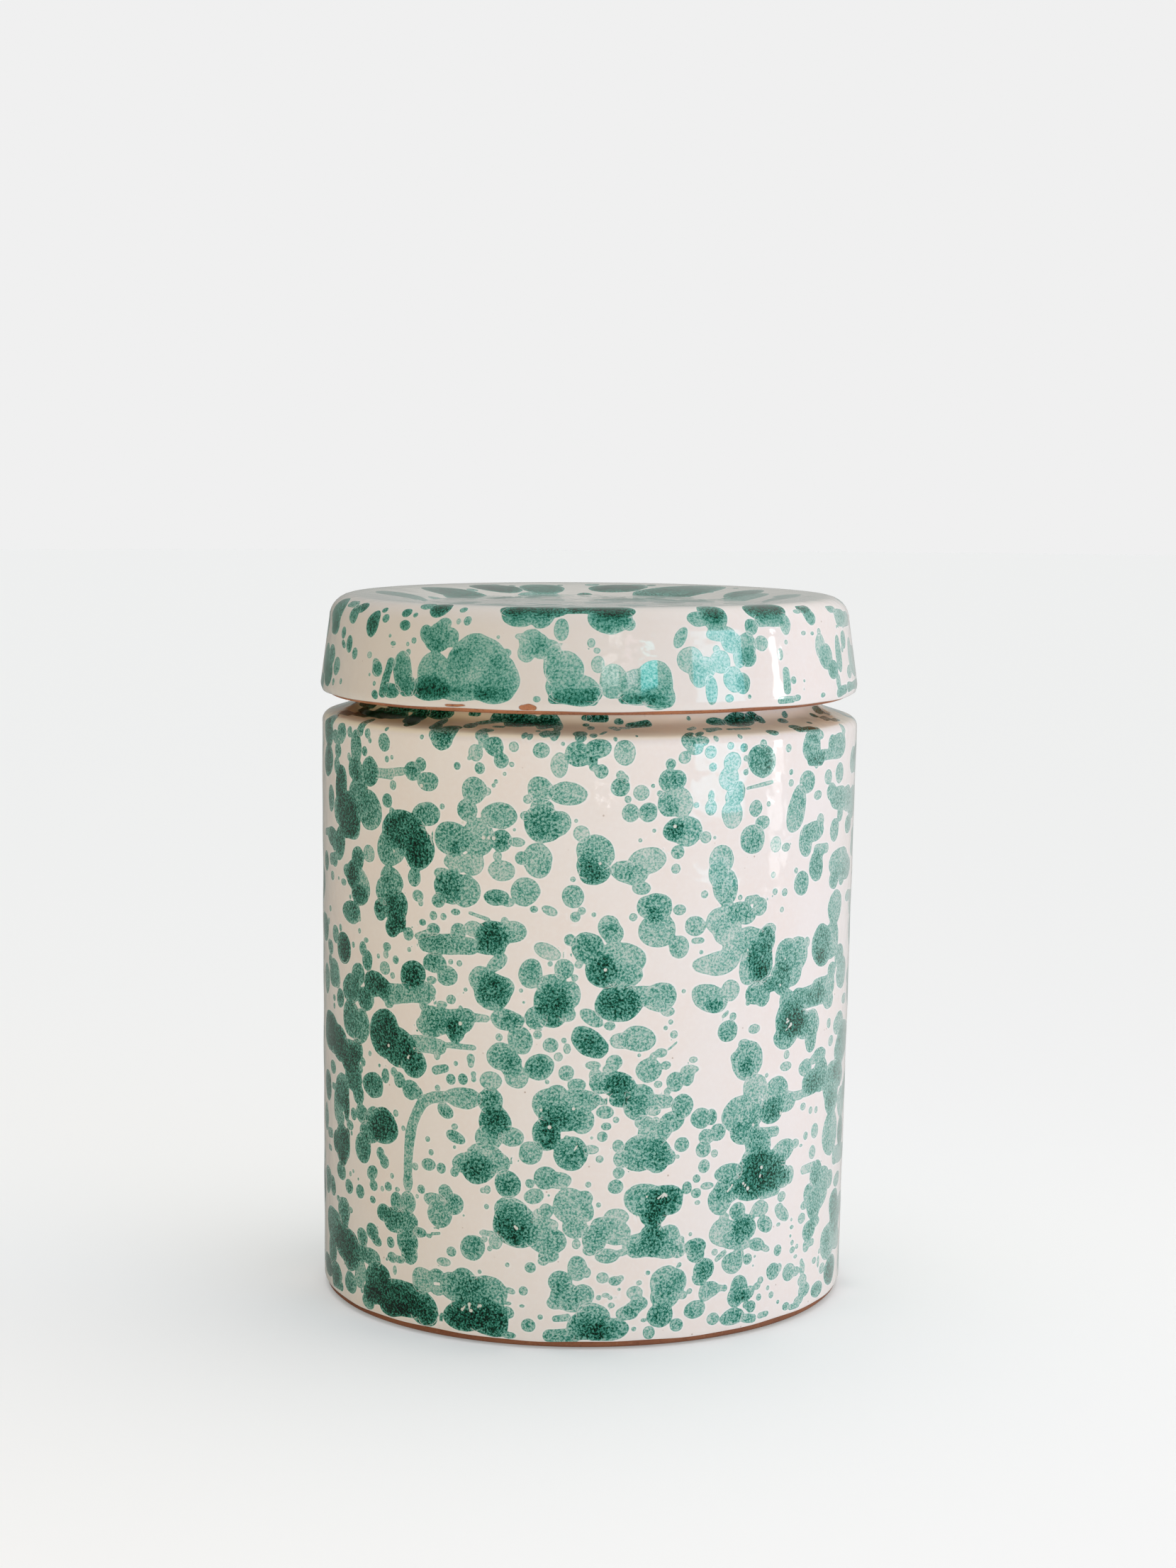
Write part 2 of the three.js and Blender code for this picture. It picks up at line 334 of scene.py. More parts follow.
# Splashes by tone: along, up, half the width, half the height where it differs, and degrees of lean
JAR_SPLASHES = {
    "pale": [
        (-18.3, 148.3, 1.3), (-7.2, 144.2, 2.2, 3), (8.5, 147.3, 2.6, 3), (-14.8, 135.8, 1.1),
        (-15.5, 131.8, 1), (-17.3, 125.3, 1.9, 1.1), (-22.3, 121.7, 1.1), (-21.5, 118, 3.8, 2.6),
        (-1.5, 127.8, 2), (14.6, 121, 4.5, 3.3), (21.8, 118.8, 1.2), (22.8, 135, 3.3, 4), (7.6, 142, 1),
        (8.8, 141, 0.8), (9.5, 136, 0.9), (12.8, 137.5, 2), (23.5, 146, 1.8), (15.6, 139.2, 0.5),
        (17.3, 137.3, 0.7), (16.1, 128.3, 0.5), (12.7, 126, 0.5), (-20.6, 141.7, 0.5),
        (-18.8, 144, 0.6), (-22.8, 139.8, 0.5), (-23.4, 138.8, 0.5), (-2.9, 130.8, 0.5),
        (-18, 128.3, 0.4), (-6.3, 149.3, 0.5), (-25, 137.3, 0.9), (-57, 139.6, 4, 1.3),
        (-52, 140.3, 3, 0.9, 8), (-63.6, 148.7, 1.2), (-62.6, 147.1, 0.7), (-72.5, 148.4, 1.3),
        (-55.7, 143.1, 0.8), (-53.8, 143.7, 0.5), (-53.3, 137, 1.2), (-43.7, 149.3, 0.6),
        (-56.3, 150.5, 0.6), (-28, 146.3, 2), (-30, 145, 0.5), (-37.4, 133, 0.7), (-53.8, 130.7, 0.9),
        (-70.2, 125, 2.8, 3.2), (-63, 119, 2.4, 2.3), (-33, 119.5, 3.7, 2.2), (-28.6, 119.5, 2.9),
        (36.4, 144.4, 2.5), (35.6, 140.3, 2.9, 3.1), (36.5, 135.8, 2), (37, 131.5, 3, 3.7),
        (45, 138.2, 4.5, 0.5, 8), (30.3, 147.1, 1.5), (26, 148.5, 2.2), (31, 143.4, 1.1),
        (35.8, 148.5, 0.9), (40.4, 145.2, 0.7), (54.5, 147, 1), (55.7, 140.8, 0.7), (55.8, 138, 0.9),
        (30.6, 133.5, 1.6, 2), (30.7, 136.3, 1, 1.6), (48, 133.3, 0.8), (29.6, 126.2, 1.7),
        (26.8, 134.2, 0.8), (32, 126, 0.5), (34, 120.7, 3.4, 3.5), (51, 123, 1.9, 2.1),
        (54.7, 122, 1.7, 1.2), (72.8, 138, 2, 1.9), (67.5, 134, 2, 1.2), (66.3, 141.7, 0.9),
        (69.3, 127.3, 1.7), (70.5, 120, 4, 1.5), (-67, 110.2, 4.6, 4.4), (-43.9, 108.6, 0.8),
        (-37.5, 116.5, 2.5, 1.5), (-37, 105.9, 0.9), (-27, 106.7, 3, 0.5, -15), (-43, 101, 3, 0.9, 20),
        (-28.5, 103.5, 2.5, 2), (-67.3, 102, 0.6), (-67.4, 99, 0.7), (-70.7, 95, 0.9), (-56, 94.5, 0.9),
        (-59, 93.7, 0.6), (-47.6, 96.7, 0.7), (-56.5, 91, 1.8, 1.5), (-53.5, 89.5, 0.8),
        (-34.7, 94.9, 0.7), (-32.3, 94.7, 0.9), (-30.6, 88.3, 0.5), (-32, 83.8, 0.5),
        (-37.3, 84, 1.7, 1), (-27.5, 81.5, 3.5, 1), (-19.5, 110.5, 1.8, 1.2),
        (-9.2, 108.9, 2.2, 1.2, -20), (-1.2, 108.9, 0.9), (1.7, 108, 0.6), (-3.5, 116.6, 0.7),
        (11.3, 107.3, 1.1), (23, 108.7, 1.5, 1.2), (-9.5, 98.8, 3.3, 1.9, -20), (-20.3, 106, 0.9),
        (-8.8, 95.8, 0.7), (-1.8, 95.8, 0.9), (-2.7, 92.5, 0.8), (-16, 89, 0.5), (-15.3, 86.1, 0.4),
        (20.5, 83.8, 2, 1.3), (21.3, 81.2, 0.7), (20, 79.8, 0.6), (24.5, 88.6, 0.6), (29.5, 112.2, 1.1),
        (39.7, 110.8, 0.7), (33.5, 105.5, 3.4, 3.2), (36, 103, 3.8), (36, 109, 1.5, 2),
        (43.5, 110, 2.3, 1), (28, 100.9, 1.8, 0.8), (29, 98, 0.6), (34, 95, 6.5, 3.2),
        (38.5, 97.5, 4, 3), (49.5, 102, 2.2, 1.6), (64.5, 97, 1.3, 1.5), (43, 84.2, 0.6),
        (37.6, 88, 2.5, 2.6), (38.5, 81.3, 0.9), (36.3, 82, 1.2, 0.5, 35), (54.5, 110.8, 0.9),
        (51, 111.3, 0.8), (50.3, 115.5, 0.8), (53.7, 106.5, 0.7), (58.8, 115.8, 0.8),
        (-62.7, 68.4, 0.8), (-58.6, 66, 0.5), (-38.5, 63, 0.8), (-38.7, 71, 0.9), (-29, 69.8, 0.8),
        (-33.2, 69.7, 0.6), (-28.3, 67.5, 0.8), (-28.2, 66.2, 0.7), (-45.5, 42.3, 1),
        (-33.5, 53.9, 1, 0.8), (-41.6, 49.8, 0.8), (-40.5, 46.6, 0.8), (-49.7, 51.4, 0.6),
        (-52.3, 54.8, 0.9), (-33.5, 48.7, 0.5), (-72, 46.2, 0.6), (-21.5, 77.2, 1), (-11.7, 78.3, 1),
        (-17, 67.5, 3, 2.7), (-23.5, 66.3, 3, 2.3), (-6.5, 73, 1.2), (-4.4, 75, 1, 1.4),
        (-5.2, 77.1, 0.7), (2.5, 68.5, 1.5), (17.5, 59.3, 1.7, 1.2), (18, 57, 0.8),
        (20.3, 70.5, 1.5, 1.2), (17, 72.9, 0.9), (13.4, 73.3, 0.5), (9, 77, 2.8, 2), (22.2, 78.1, 1),
        (22, 75.3, 1.7, 0.25, 40), (18.4, 65.9, 1.1, 0.9), (20.8, 64, 1), (7.9, 57.4, 0.8),
        (2.1, 50.1, 1.9, 1.2), (4, 47.7, 1), (1.3, 41.4, 0.8), (-4.2, 53, 0.6), (2, 53, 0.4),
        (-9.2, 66.7, 0.5), (8.5, 51, 1.4, 1.5), (23.9, 47.5, 0.6), (27.5, 71.4, 1.2, 0.8),
        (26.5, 69, 2.8, 1.3), (42, 74.2, 1.8, 1.2), (46.5, 62.5, 4, 3.2), (61.5, 58.3, 3.5, 1.2),
        (57, 66.5, 2, 1.1), (57.2, 69.5, 1), (50, 65.2, 0.6), (34.1, 47.4, 1), (62, 46, 1.8, 1.3),
        (64.5, 45, 0.9, 0.5), (69.5, 66.3, 1.8, 1.2), (66, 58.3, 2, 1), (66.6, 47.1, 1.1),
        (71.5, 47.5, 1.9, 1.8), (70.2, 42.2, 1.9), (68.8, 53.4, 1), (71.8, 53, 1), (65, 55, 1.2, 0.9),
        (-71.2, 36.5, 0.6), (-72.8, 35.5, 0.8), (-68.5, 35, 0.4), (-53.7, 38.6, 0.7),
        (-57.5, 34.6, 0.7), (-51.7, 35.5, 0.9, 0.6), (-44.9, 34.8, 0.6), (-72.6, 26.1, 1.1, 0.8),
        (-75, 27, 0.6), (-39, 26.2, 1.5, 0.4, 10), (-55.8, 16.8, 0.4), (-67.3, 11.3, 2.8, 3),
        (-68, 9, 2.2, 2.1), (-66.7, 6.2, 0.5), (-43, 13.8, 3.7, 3.4), (-38.3, 11.8, 2.2, 1.4),
        (-36.5, 19.3, 2, 1), (-26.3, 18.1, 0.5), (-30.8, 31.8, 0.3), (-25.5, 38.7, 0.8),
        (-25.2, 28.2, 0.7), (-52.7, 14.5, 0.7, 1.2), (-24.3, 39, 1, 1.2), (-24.5, 34.7, 0.7),
        (-8.5, 38.5, 0.3), (-10.7, 34, 1.3, 1), (-24.5, 28, 2, 0.7), (-25, 26.5, 0.8),
        (-22, 26, 1.8, 2), (-23.6, 24.2, 0.7), (-8, 31, 2.1, 1.5), (-9.8, 21.9, 1.5, 1.2),
        (-1.5, 26.5, 1.2, 1.4), (8.5, 33.3, 2.8, 2), (3.9, 36.3, 0.6), (9.8, 24.2, 1.2, 0.8),
        (1.3, 19.3, 0.9, 1.2), (-18.9, 20.5, 0.6), (5.2, 17.9, 1.6, 1.5), (9.8, 17.8, 0.7),
        (9.4, 15, 0.4), (-18, 14, 1.4, 0.8, -20), (-15, 10.4, 0.8, 0.5), (-10.3, 7.9, 0.8),
        (-18.5, 10.8, 0.9, 0.5), (-5, 7.8, 2.4, 0.9, 8), (-3, 2.6, 2.5, 1), (4.3, 13, 0.7),
        (6, 13.6, 1, 0.7), (7.2, 12.9, 0.6), (8.6, 12.9, 0.3), (7.5, 11, 0.9, 0.7),
        (14.5, 16.4, 0.7, 0.6), (16.7, 18.8, 0.6), (15.8, 6.9, 0.7, 0.5), (13.3, 4.7, 0.6),
        (13.5, 13.9, 2, 1.6), (17.2, 3.4, 1.6, 1.8), (25, 20.3, 0.5), (29.5, 35.5, 0.8, 0.6),
        (32.3, 39.5, 1.8, 0.9), (59.8, 38.3, 1.7, 2.2), (37.5, 30.8, 1.4, 1.3), (48.5, 31.5, 2.6, 2),
        (50.5, 31.3, 1.2, 1.3), (46.5, 30.5, 1.2), (56.8, 33.3, 1.6, 1.3), (57.5, 28.7, 3, 1.6, -35),
        (56, 30.5, 1.4, 1.1), (55.9, 26.2, 0.8, 0.5), (37.5, 27, 4.6, 3.5), (43.7, 23.2, 2.5, 1.3),
        (51, 21, 1.8, 0.9, -25), (34.8, 22.4, 0.9), (36.5, 21.2, 2, 0.7, 35), (27.8, 27.7, 0.6),
        (25.5, 25, 0.7, 2.6), (26, 12.5, 1.2, 1), (27.9, 13.3, 0.7), (42, 20.8, 1.7, 1.3),
        (47.5, 19.5, 0.4), (47, 17.2, 0.3), (56.7, 15, 1, 1.2), (46.2, 10.7, 1.5), (32.5, 12, 2, 1.8),
        (36.5, 13, 1.6, 1), (38, 12.8, 1), (34.8, 5.5, 1.7, 1.5), (46, 3.7, 2.5, 1.1, -10),
        (45, 7.4, 1, 0.8), (48.6, 11.7, 1.3, 1), (49.8, 13, 1.1, 1), (49.3, 8.7, 1), (53.8, 8.5, 1),
        (52.5, 10.5, 0.7), (51, 3.7, 2, 0.9), (56.5, 6, 0.6), (59.8, 4, 1.5, 1.2), (64, 12.5, 2, 1.4),
        (61.5, 24.5, 0.9, 0.6), (61.3, 26.5, 0.5), (61, 22.3, 0.5), (61.8, 20.4, 0.8),
        (62, 18.5, 1.3, 1), (64, 19, 0.7), (63.5, 16.5, 1, 0.6), (66, 26, 2, 1.5), (68.5, 38.5, 4, 1.3),
        (67, 29, 2, 1.3), (70, 18.5, 3, 1), (68.5, 17.5, 1.5, 1), (67, 12.5, 1.5, 2),
        (67, 9.5, 2.5, 1.8), (65.5, 4.5, 2.2, 1.3), (63.5, 3.3, 2.5, 0.8), (73.5, 13.3, 1.3, 0.9),
        (66.5, 14.5, 0.9), (79, 10, 2, 1.5), (-27.5, 152, 1.3, 2.4), (-26.2, 149.6, 1.3, 2),
        (-16.1, 151.7, 0.8, 1.6), (-14.6, 151.2, 0.8, 1.3), (6.3, 150.8, 0.5, 0.7),
        (11.7, 152, 0.4, 0.6), (28.7, 160.6, 0.7), (28, 150.2, 1.9, 1.4), (33.5, 155.5, 2.8, 0.8),
        (42.5, 154.8, 3, 0.6), (39, 150.9, 0.6, 0.7), (32, 150.6, 0.7, 0.9), (66.5, 149.7, 3.2, 1.4),
        (83.5, 156.2, 3, 0.8), (82.5, 150, 1.4, 2, -30), (98, 117.5, 4, 2.5), (92.5, 105.3, 3, 1.4),
        (92, 78.5, 2.8, 1.5), (78, 74.3, 1.4), (80, 69.5, 1.8, 1.4), (79, 32.5, 2, 1.3),
        (76, 12.5, 0.8, 1.6), (76.5, 15, 0.7), (-73, 142.3, 0.9), (-91, 121.5, 2.5, 0.9, 8),
        (-85.3, 110.8, 1.6, 1.2), (-80, 110.8, 0.5), (-76.5, 110.3, 1.8, 1), (-72.5, 107, 0.6),
        (-87.3, 102, 1.2, 0.8), (-78.5, 98.3, 1), (-89, 98.5, 1), (-84, 79.3, 1.2, 0.9),
        (-84, 77.2, 0.8), (-89, 39, 2, 0.8),
    ],
    "soft": [
        (-11.5, 147.6, 2.2, 2), (-11.5, 138, 3.2), (-5, 137.3, 5, 2.9), (-7, 130.5, 2.9),
        (-22, 131.5, 4.3, 3.2), (-12, 121, 3.7, 4.2), (8.5, 118.5, 3, 2.5), (11, 118, 4, 2.5),
        (22.2, 122.9, 1.6), (24.5, 128, 4.3, 3.6), (10.2, 132.8, 2.2), (14.6, 132.9, 2.5),
        (-42, 138.6, 3.3, 2.3), (-56.8, 147, 2), (-28.5, 137.5, 3.2, 3), (-27.5, 126, 4.5),
        (38.9, 136.8, 1.9, 3), (45.8, 148.7, 1.2), (43.8, 132.5, 2.5), (46, 129, 2.5, 1.8),
        (58.5, 131.3, 3.5, 6, -20), (62.9, 137.8, 3.5, 3.4), (75, 134, 3, 2.3), (72, 144.2, 4.5, 1.5),
        (74.5, 147, 2.8, 2.6), (62.5, 122.5, 3, 4), (66, 124.8, 5, 2.6), (-56.5, 110.5, 4, 3.5),
        (-44.7, 110.3, 1.7, 1.4), (-30.5, 112.5, 4.3, 3.9), (-40, 105.9, 1.2), (-43.3, 103.9, 1.2, 0.9),
        (-47.8, 100.5, 1.7), (-40, 102.6, 2, 1.5), (-32.5, 102.5, 2), (-18.5, 103.2, 3.4, 2.6),
        (-64.2, 97.1, 1.2, 0.8), (-55.5, 96.5, 1.4, 1), (-52.3, 93.6, 1.1), (-49, 85.3, 9, 2.3, 5),
        (-43, 87, 4, 2.3), (-40.5, 89.8, 1.5, 1), (-34.7, 85.5, 1.5, 1.3), (-43.2, 83.2, 1.2),
        (-54.9, 81.9, 1.3, 0.7), (-26.5, 91.5, 3.2, 3), (-20.5, 89.5, 2.8, 3), (-15.2, 113.1, 3.9, 3.7),
        (-12.9, 109.1, 1.2, 1), (-3.6, 112.5, 2.75), (-2.8, 107.4, 1.2), (13.3, 114.4, 2.1, 1.4),
        (14.4, 109.5, 2.3, 2.4), (17, 103.8, 5, 3.9), (23.2, 99.8, 2.5, 2.7), (6.7, 103.3, 2.6),
        (-4, 101.8, 1.6), (-22, 95.4, 3.4, 1.9, 35), (-3.5, 88.3, 2.6, 3), (9, 97.2, 6, 4.2),
        (14, 88, 5, 2.6), (18.5, 87.4, 4.5, 3.8), (1.5, 82.7, 3.3, 1.7, -35), (6, 80.7, 1.4, 1.1),
        (33, 117, 2.6, 3), (35.5, 113.5, 3.8, 4.3), (46.2, 107.9, 2.1), (27.2, 104.5, 2.9, 2.6),
        (43.5, 99.5, 5, 3.5), (42.5, 93, 2.8, 3.8), (60.5, 94.5, 4.7, 4.8), (58.5, 90, 4.5, 3.5),
        (31.5, 86.3, 5.2, 3.3, -20), (61.3, 112.6, 3.2, 3.1), (70.5, 118.8, 1.8, 1, 45),
        (78.5, 96, 5, 5), (74, 84.5, 7, 2.8), (68, 76, 4), (57, 83.5, 3, 2.5), (-42, 73.5, 6, 2),
        (-33, 74.1, 5.5, 0.7), (-67.5, 63.7, 1.7, 1.2), (-65.7, 65.7, 1.2), (-53, 65.2, 1.2),
        (-37.7, 67.8, 2.5, 1, 15), (-29, 71.2, 1.1, 1.3), (-34.5, 65.6, 1.4), (-31.5, 61.3, 5.3, 2.7),
        (-73, 48.2, 2, 1.3), (-41.3, 43.5, 2.1, 1.5), (-37.3, 43, 1.3), (-33.4, 42.5, 1.3),
        (-25, 47.5, 4.5, 2.8), (-8.3, 75.8, 1.9, 1.8), (1.9, 71, 1.8, 1), (7.4, 71.7, 2, 1.8),
        (6.3, 70, 1.7, 1.1), (-4.4, 69.1, 2), (-1.7, 66, 2.5, 2), (18.5, 61.5, 4, 1.8),
        (15.2, 56.5, 2.3, 1.5), (15.8, 69.6, 3.7, 3), (18.9, 73.6, 1.5, 1.1), (13, 77.5, 4.3, 3.4),
        (22.8, 66.5, 2.6, 2.8), (-6.5, 63.5, 2.5, 2.4), (-0.3, 57, 2.8, 3), (3.5, 62.5, 1.7, 1, -35),
        (5.2, 59.3, 2.1, 1.6), (5.5, 55.8, 1.4, 1.1), (4.6, 53.3, 1.5), (-18, 52.5, 3.3, 2.3),
        (-13, 49, 3.2, 3.1), (-21.5, 46, 2.8, 2.3), (-6, 42.3, 3, 2), (-13.3, 41.3, 1.2),
        (22, 56.5, 3.3, 2.6, 20), (18, 54, 4, 3), (22, 47.5, 1.5, 2), (9.5, 47.5, 2),
        (8.8, 44.2, 1.5, 1.4), (8.1, 40.8, 1.9, 1.7), (25, 50.3, 2.2, 2), (45.2, 77.5, 1.9, 1.2),
        (26, 67.5, 2.2, 2.8), (43.5, 70, 5, 4.8), (39.5, 71, 1.4), (53.5, 60.5, 4.5, 4.3),
        (57.5, 57.2, 3.8, 2.8), (41, 56.5, 5.6, 4.6), (46.5, 56.5, 2.5, 3.5), (31.2, 44.5, 1.7),
        (29.1, 41.6, 1), (51, 50.5, 4.5, 1.7), (47, 45, 4.3, 3), (57, 45.5, 4.5, 2.7),
        (65.5, 65, 3, 2.3), (73, 67, 3.5, 2), (-41, 25.3, 0.9, 0.6), (-73, 6.8, 3.4, 2.7),
        (-63.5, 4, 2.6, 1.8, -15), (-36, 37, 2.2, 2), (-39.5, 34.8, 3.2, 1.7), (-37.7, 31.5, 3.4),
        (-12.3, 38.2, 2.5, 1.8, 10), (-9, 34.6, 1.6, 1.8), (-10.5, 30.3, 2.5), (-10, 26, 4.2, 2.3, -20),
        (-8.5, 23.2, 2.8, 1.7), (-3, 36, 4.5), (0.5, 38, 1.9, 2), (1, 34.5, 1.6, 2.5),
        (-2, 30.5, 3.4, 3), (8, 29, 3.8, 3), (5, 31, 3, 2), (6.2, 23.5, 2.9, 2), (1.8, 25, 1.8, 1.4),
        (14, 26, 3.8, 2.6), (22, 27.5, 3.2, 3.3), (-1.3, 20.5, 2.4, 3.1), (-12.9, 20.2, 1.6, 1.5),
        (0.5, 13.8, 2.8, 2.4), (-6.8, 11.5, 2.1, 1.7), (-14.7, 14.2, 1.3), (-13.3, 5.8, 1.9, 1.7),
        (-18.5, 8.5, 1.7, 1.5, -35), (-18.3, 2.7, 1.6, 0.8), (-5.8, 3.2, 4, 1.8),
        (14.7, 11.3, 2.3, 1.8), (11.5, 9, 2.8, 1.8), (21, 16, 4.2, 4), (24.5, 5, 1.8, 1.7),
        (29, 37.9, 1.3, 1.2), (36.2, 35.5, 3.8, 3.6), (52, 35.5, 4, 1.6), (41, 25, 4, 2.3),
        (50.7, 27, 2.9, 2, -25), (48.2, 22.5, 2.9, 2, -15), (40, 18.7, 3.2, 2.6), (45.2, 19.2, 1.5),
        (55.9, 19.5, 1.5), (34, 13, 3, 2.2), (29.5, 8.5, 3, 2.1, 15), (40.5, 5, 3.5, 2.2),
        (46.7, 6.8, 1.6, 1.5), (61, 13, 2.8, 2.4), (69, 31.5, 2.5), (73, 23.5, 3, 1.5), (68, 6.8, 3, 2),
        (74, 5, 1.7, 1.5), (-85, 61, 2.5, 1.7), (-86, 30, 2.5), (78, 146, 6, 3.5), (78, 124, 3),
        (82, 115, 8, 4), (80, 104, 5, 4.5), (85, 91, 4, 3), (88, 86, 5, 4), (86, 73, 5, 3), (82, 45, 6),
        (76, 35, 5, 2.5), (76, 30, 5, 4), (83, 16, 6, 5), (-38, 151, 3.7, 3.4), (-8.6, 152.6, 1.2, 2.6),
        (-13.2, 154.2, 0.7, 0.6), (-2, 151, 1.6, 1.4), (1, 152.2, 1.1, 1.3), (9.4, 156.9, 1.6, 0.6),
        (27.7, 156.1, 1.8, 0.8, 30), (24.6, 150, 2.3, 2.4), (83, 154.8, 3, 0.7), (-67, 151, 1.5, 3.4),
        (-87, 150.3, 3.2, 2.2), (80, 138.5, 2.8), (88, 131, 5, 3.5), (94, 129.5, 7, 4.5),
        (98, 140, 8, 3.5, -8), (81.5, 128, 2.2), (84, 110.5, 2, 1.3), (79, 88, 2.8, 2),
        (77, 80.5, 3.5, 2.3, -10), (98.5, 83.5, 4, 2.5), (93, 51, 6, 4, -20), (92, 37.5, 8, 2.6, -5),
        (82.5, 32.8, 3, 2.4), (90, 31, 4, 2), (97, 23, 5, 3), (91, 15, 6, 2.8, -8), (76, 5, 3.5, 2),
        (-82, 146.5, 2.5, 1.8), (-78, 147.3, 2.6, 2.2, 30), (-81, 139.3, 2.4, 2.3), (-80, 128, 3, 3.5),
        (-84.5, 115.3, 3.5, 1.5, 10), (-82.5, 96, 2.8, 2.5), (-88.5, 92.5, 2, 1.5),
        (-87.5, 88.3, 2.2, 2), (-81.5, 84.5, 2.2), (-92, 83, 3.5, 4), (-82, 52, 2.5, 4.5),
        (-79.5, 48.5, 2.8, 2.5), (-94, 46.5, 3, 4), (-88.5, 43, 3, 1.3, 8), (-81, 27.3, 1.3, 0.8),
    ],
    "mid": [
        (-23.5, 148, 2.6), (-21.7, 144.8, 2), (-2.5, 147, 3.2), (2, 148.5, 3.4, 2.5), (3, 142.8, 1.6),
        (1, 143.8, 0.9), (-11, 134, 3, 2), (-16.2, 121.4, 1.6), (1.8, 123, 4.7, 4.6),
        (19.8, 140.5, 2.6), (22, 140.7, 2.5), (20, 144.5, 1.3), (19.8, 134.3, 3.2), (7.5, 138.8, 2.3),
        (-69, 145, 2.9, 4.2), (-44, 142.8, 1.8), (-65, 144.3, 1.3), (-33.3, 143, 1.1),
        (-27, 142.8, 1.5), (-30.5, 132.3, 2.6), (-55.5, 133.1, 2.1, 1.9), (-54, 121.5, 5.5, 4.5),
        (-42.5, 131, 4.3, 3.1), (-62.5, 130, 5.2, 5), (-68, 133, 5), (-34.5, 125.5, 5, 4.2),
        (39.7, 147.9, 1), (40.5, 141.7, 0.8), (42.7, 125, 3.9), (64, 146.5, 4, 3.8),
        (-54, 113, 4.3, 3.7), (-46, 114.8, 2), (-38.5, 109.8, 2.2, 2), (-33.5, 107.3, 1.3, 0.8),
        (-36, 99, 9, 2.4), (-65.8, 94.8, 1.9), (-63.8, 92.2, 2.4, 2.8), (-68.5, 87.8, 3.3, 3.1),
        (-39.5, 94.2, 3.3, 2.4), (-35.8, 91.2, 3, 2.4, 20), (-36, 80.5, 8, 3), (17.3, 109.3, 3.2, 3.5),
        (5.2, 105, 2.8), (-13.5, 93.6, 3.2, 3.7), (-5.5, 94.7, 2.35), (-8.5, 91, 3.5, 2.5),
        (-4.5, 83.5, 2, 1.8), (-12.2, 82.5, 2.9, 2.7), (9.5, 93, 4.5, 3), (39.5, 107.3, 3.3, 2.4),
        (42, 106, 2.5, 1.8), (56, 94.5, 4.5, 4.8), (45.5, 86.3, 3, 2.4), (48, 85.8, 2.5, 2.8),
        (68, 115.8, 3.7, 3.8), (66, 83, 8, 3.2), (64, 76, 4), (-67, 75, 4.2, 4.5), (-40, 78.5, 5, 3),
        (-56.1, 63.7, 1.5, 1.9), (-51, 63.5, 2), (-47.2, 61.5, 2.6, 2.4), (-44.5, 61, 1.3),
        (-31.2, 66, 1.5), (-36.2, 57.5, 2.7, 1.9, -25), (-33.3, 51.3, 2.8, 1.6, -20), (-61, 51.5, 3.5),
        (-63, 48, 4, 2.5), (-71, 51.5, 1.8), (-67, 52.5, 3, 2.3), (-58.2, 43.5, 1.8), (-56.8, 41.8, 2),
        (-31, 45, 3.3, 2.5), (-16.3, 77, 3, 3.5, 30), (-21, 72.5, 3.7, 3.5), (4, 66.3, 3.3, 2.6),
        (13, 60.5, 3.2, 2.9), (13.5, 63.5, 3.5, 2.5), (24.8, 60.2, 3, 2.9), (-9, 61, 3.8, 3.6),
        (-1, 62.5, 5, 3), (-24, 52, 3.5, 3), (-9.5, 43, 2.9, 2.8), (14, 48.5, 4.5),
        (37, 77.5, 2.9, 2.8), (57.5, 78, 4.5), (57, 74, 4.5, 2.8), (67, 76.5, 4, 3.3),
        (67.5, 72, 3, 3.5), (43, 52, 4.5, 3.2), (30, 56.8, 2.7, 2.6), (33, 56.8, 1.7, 2.1),
        (31.7, 51.9, 2.3, 1.8), (35, 52.7, 2.3), (30.7, 48.7, 2.1, 1.9), (48, 48, 4.5, 4),
        (38, 42, 4.5, 2.5), (74, 61.5, 4.5), (-61.7, 38.1, 2.3, 1.7, 30), (-55.2, 35.6, 1.4, 1.2),
        (-61.2, 34.7, 1.7, 1.4), (-43.6, 36.8, 1.2, 1.1), (-73.6, 32.1, 2.3, 1.9),
        (-67.5, 32, 2.2, 1.8, 8), (-61.6, 31.1, 1.3, 1), (-48, 38, 1.7, 3), (-48, 33, 2.7, 3),
        (-52, 32.5, 2.3), (-48.5, 27.5, 3.6, 3.2), (-43.8, 25.7, 2, 1.3), (-51, 17.6, 1.8, 1),
        (-54.2, 21.5, 1.5), (-53.7, 17.7, 1.7, 1.3), (-61.7, 22.8, 2.4, 2), (-60, 20.8, 2.2, 1.4, -15),
        (-66.5, 20.3, 2.5, 2, -20), (-66.5, 16.5, 3, 2.5, 30), (-62.5, 16, 4.5, 2.5),
        (-38.8, 15.5, 2.6, 1.8), (-31, 15, 3.6, 3.8), (-34.5, 13.5, 3.3, 3.5), (-28.3, 24.2, 3.5),
        (-34.2, 22.3, 1.3, 1.2), (-33.7, 34.5, 2.7), (-18.5, 34.5, 4.2, 3.2), (-6.7, 27.3, 3, 3),
        (3, 27.6, 3.3, 3.7), (15.5, 37.5, 5.5, 4), (22, 35.5, 3.3, 2.5), (20.8, 24.5, 3.5, 2.2),
        (24.5, 24.2, 1.5, 2), (8.2, 17.1, 1.6, 1.2), (-5.5, 17, 3), (-4.2, 13.3, 3.8, 3.4),
        (-2.5, 11.2, 2.5, 1.8), (-23.5, 13, 5, 4.2), (3.2, 8.3, 4, 3.2), (7.5, 4.8, 4.5, 2.9),
        (13, 10, 3, 1.8, 25), (21, 13, 4, 3.6), (24.3, 15.8, 2.5, 3), (26.5, 39.5, 1.3, 1.6),
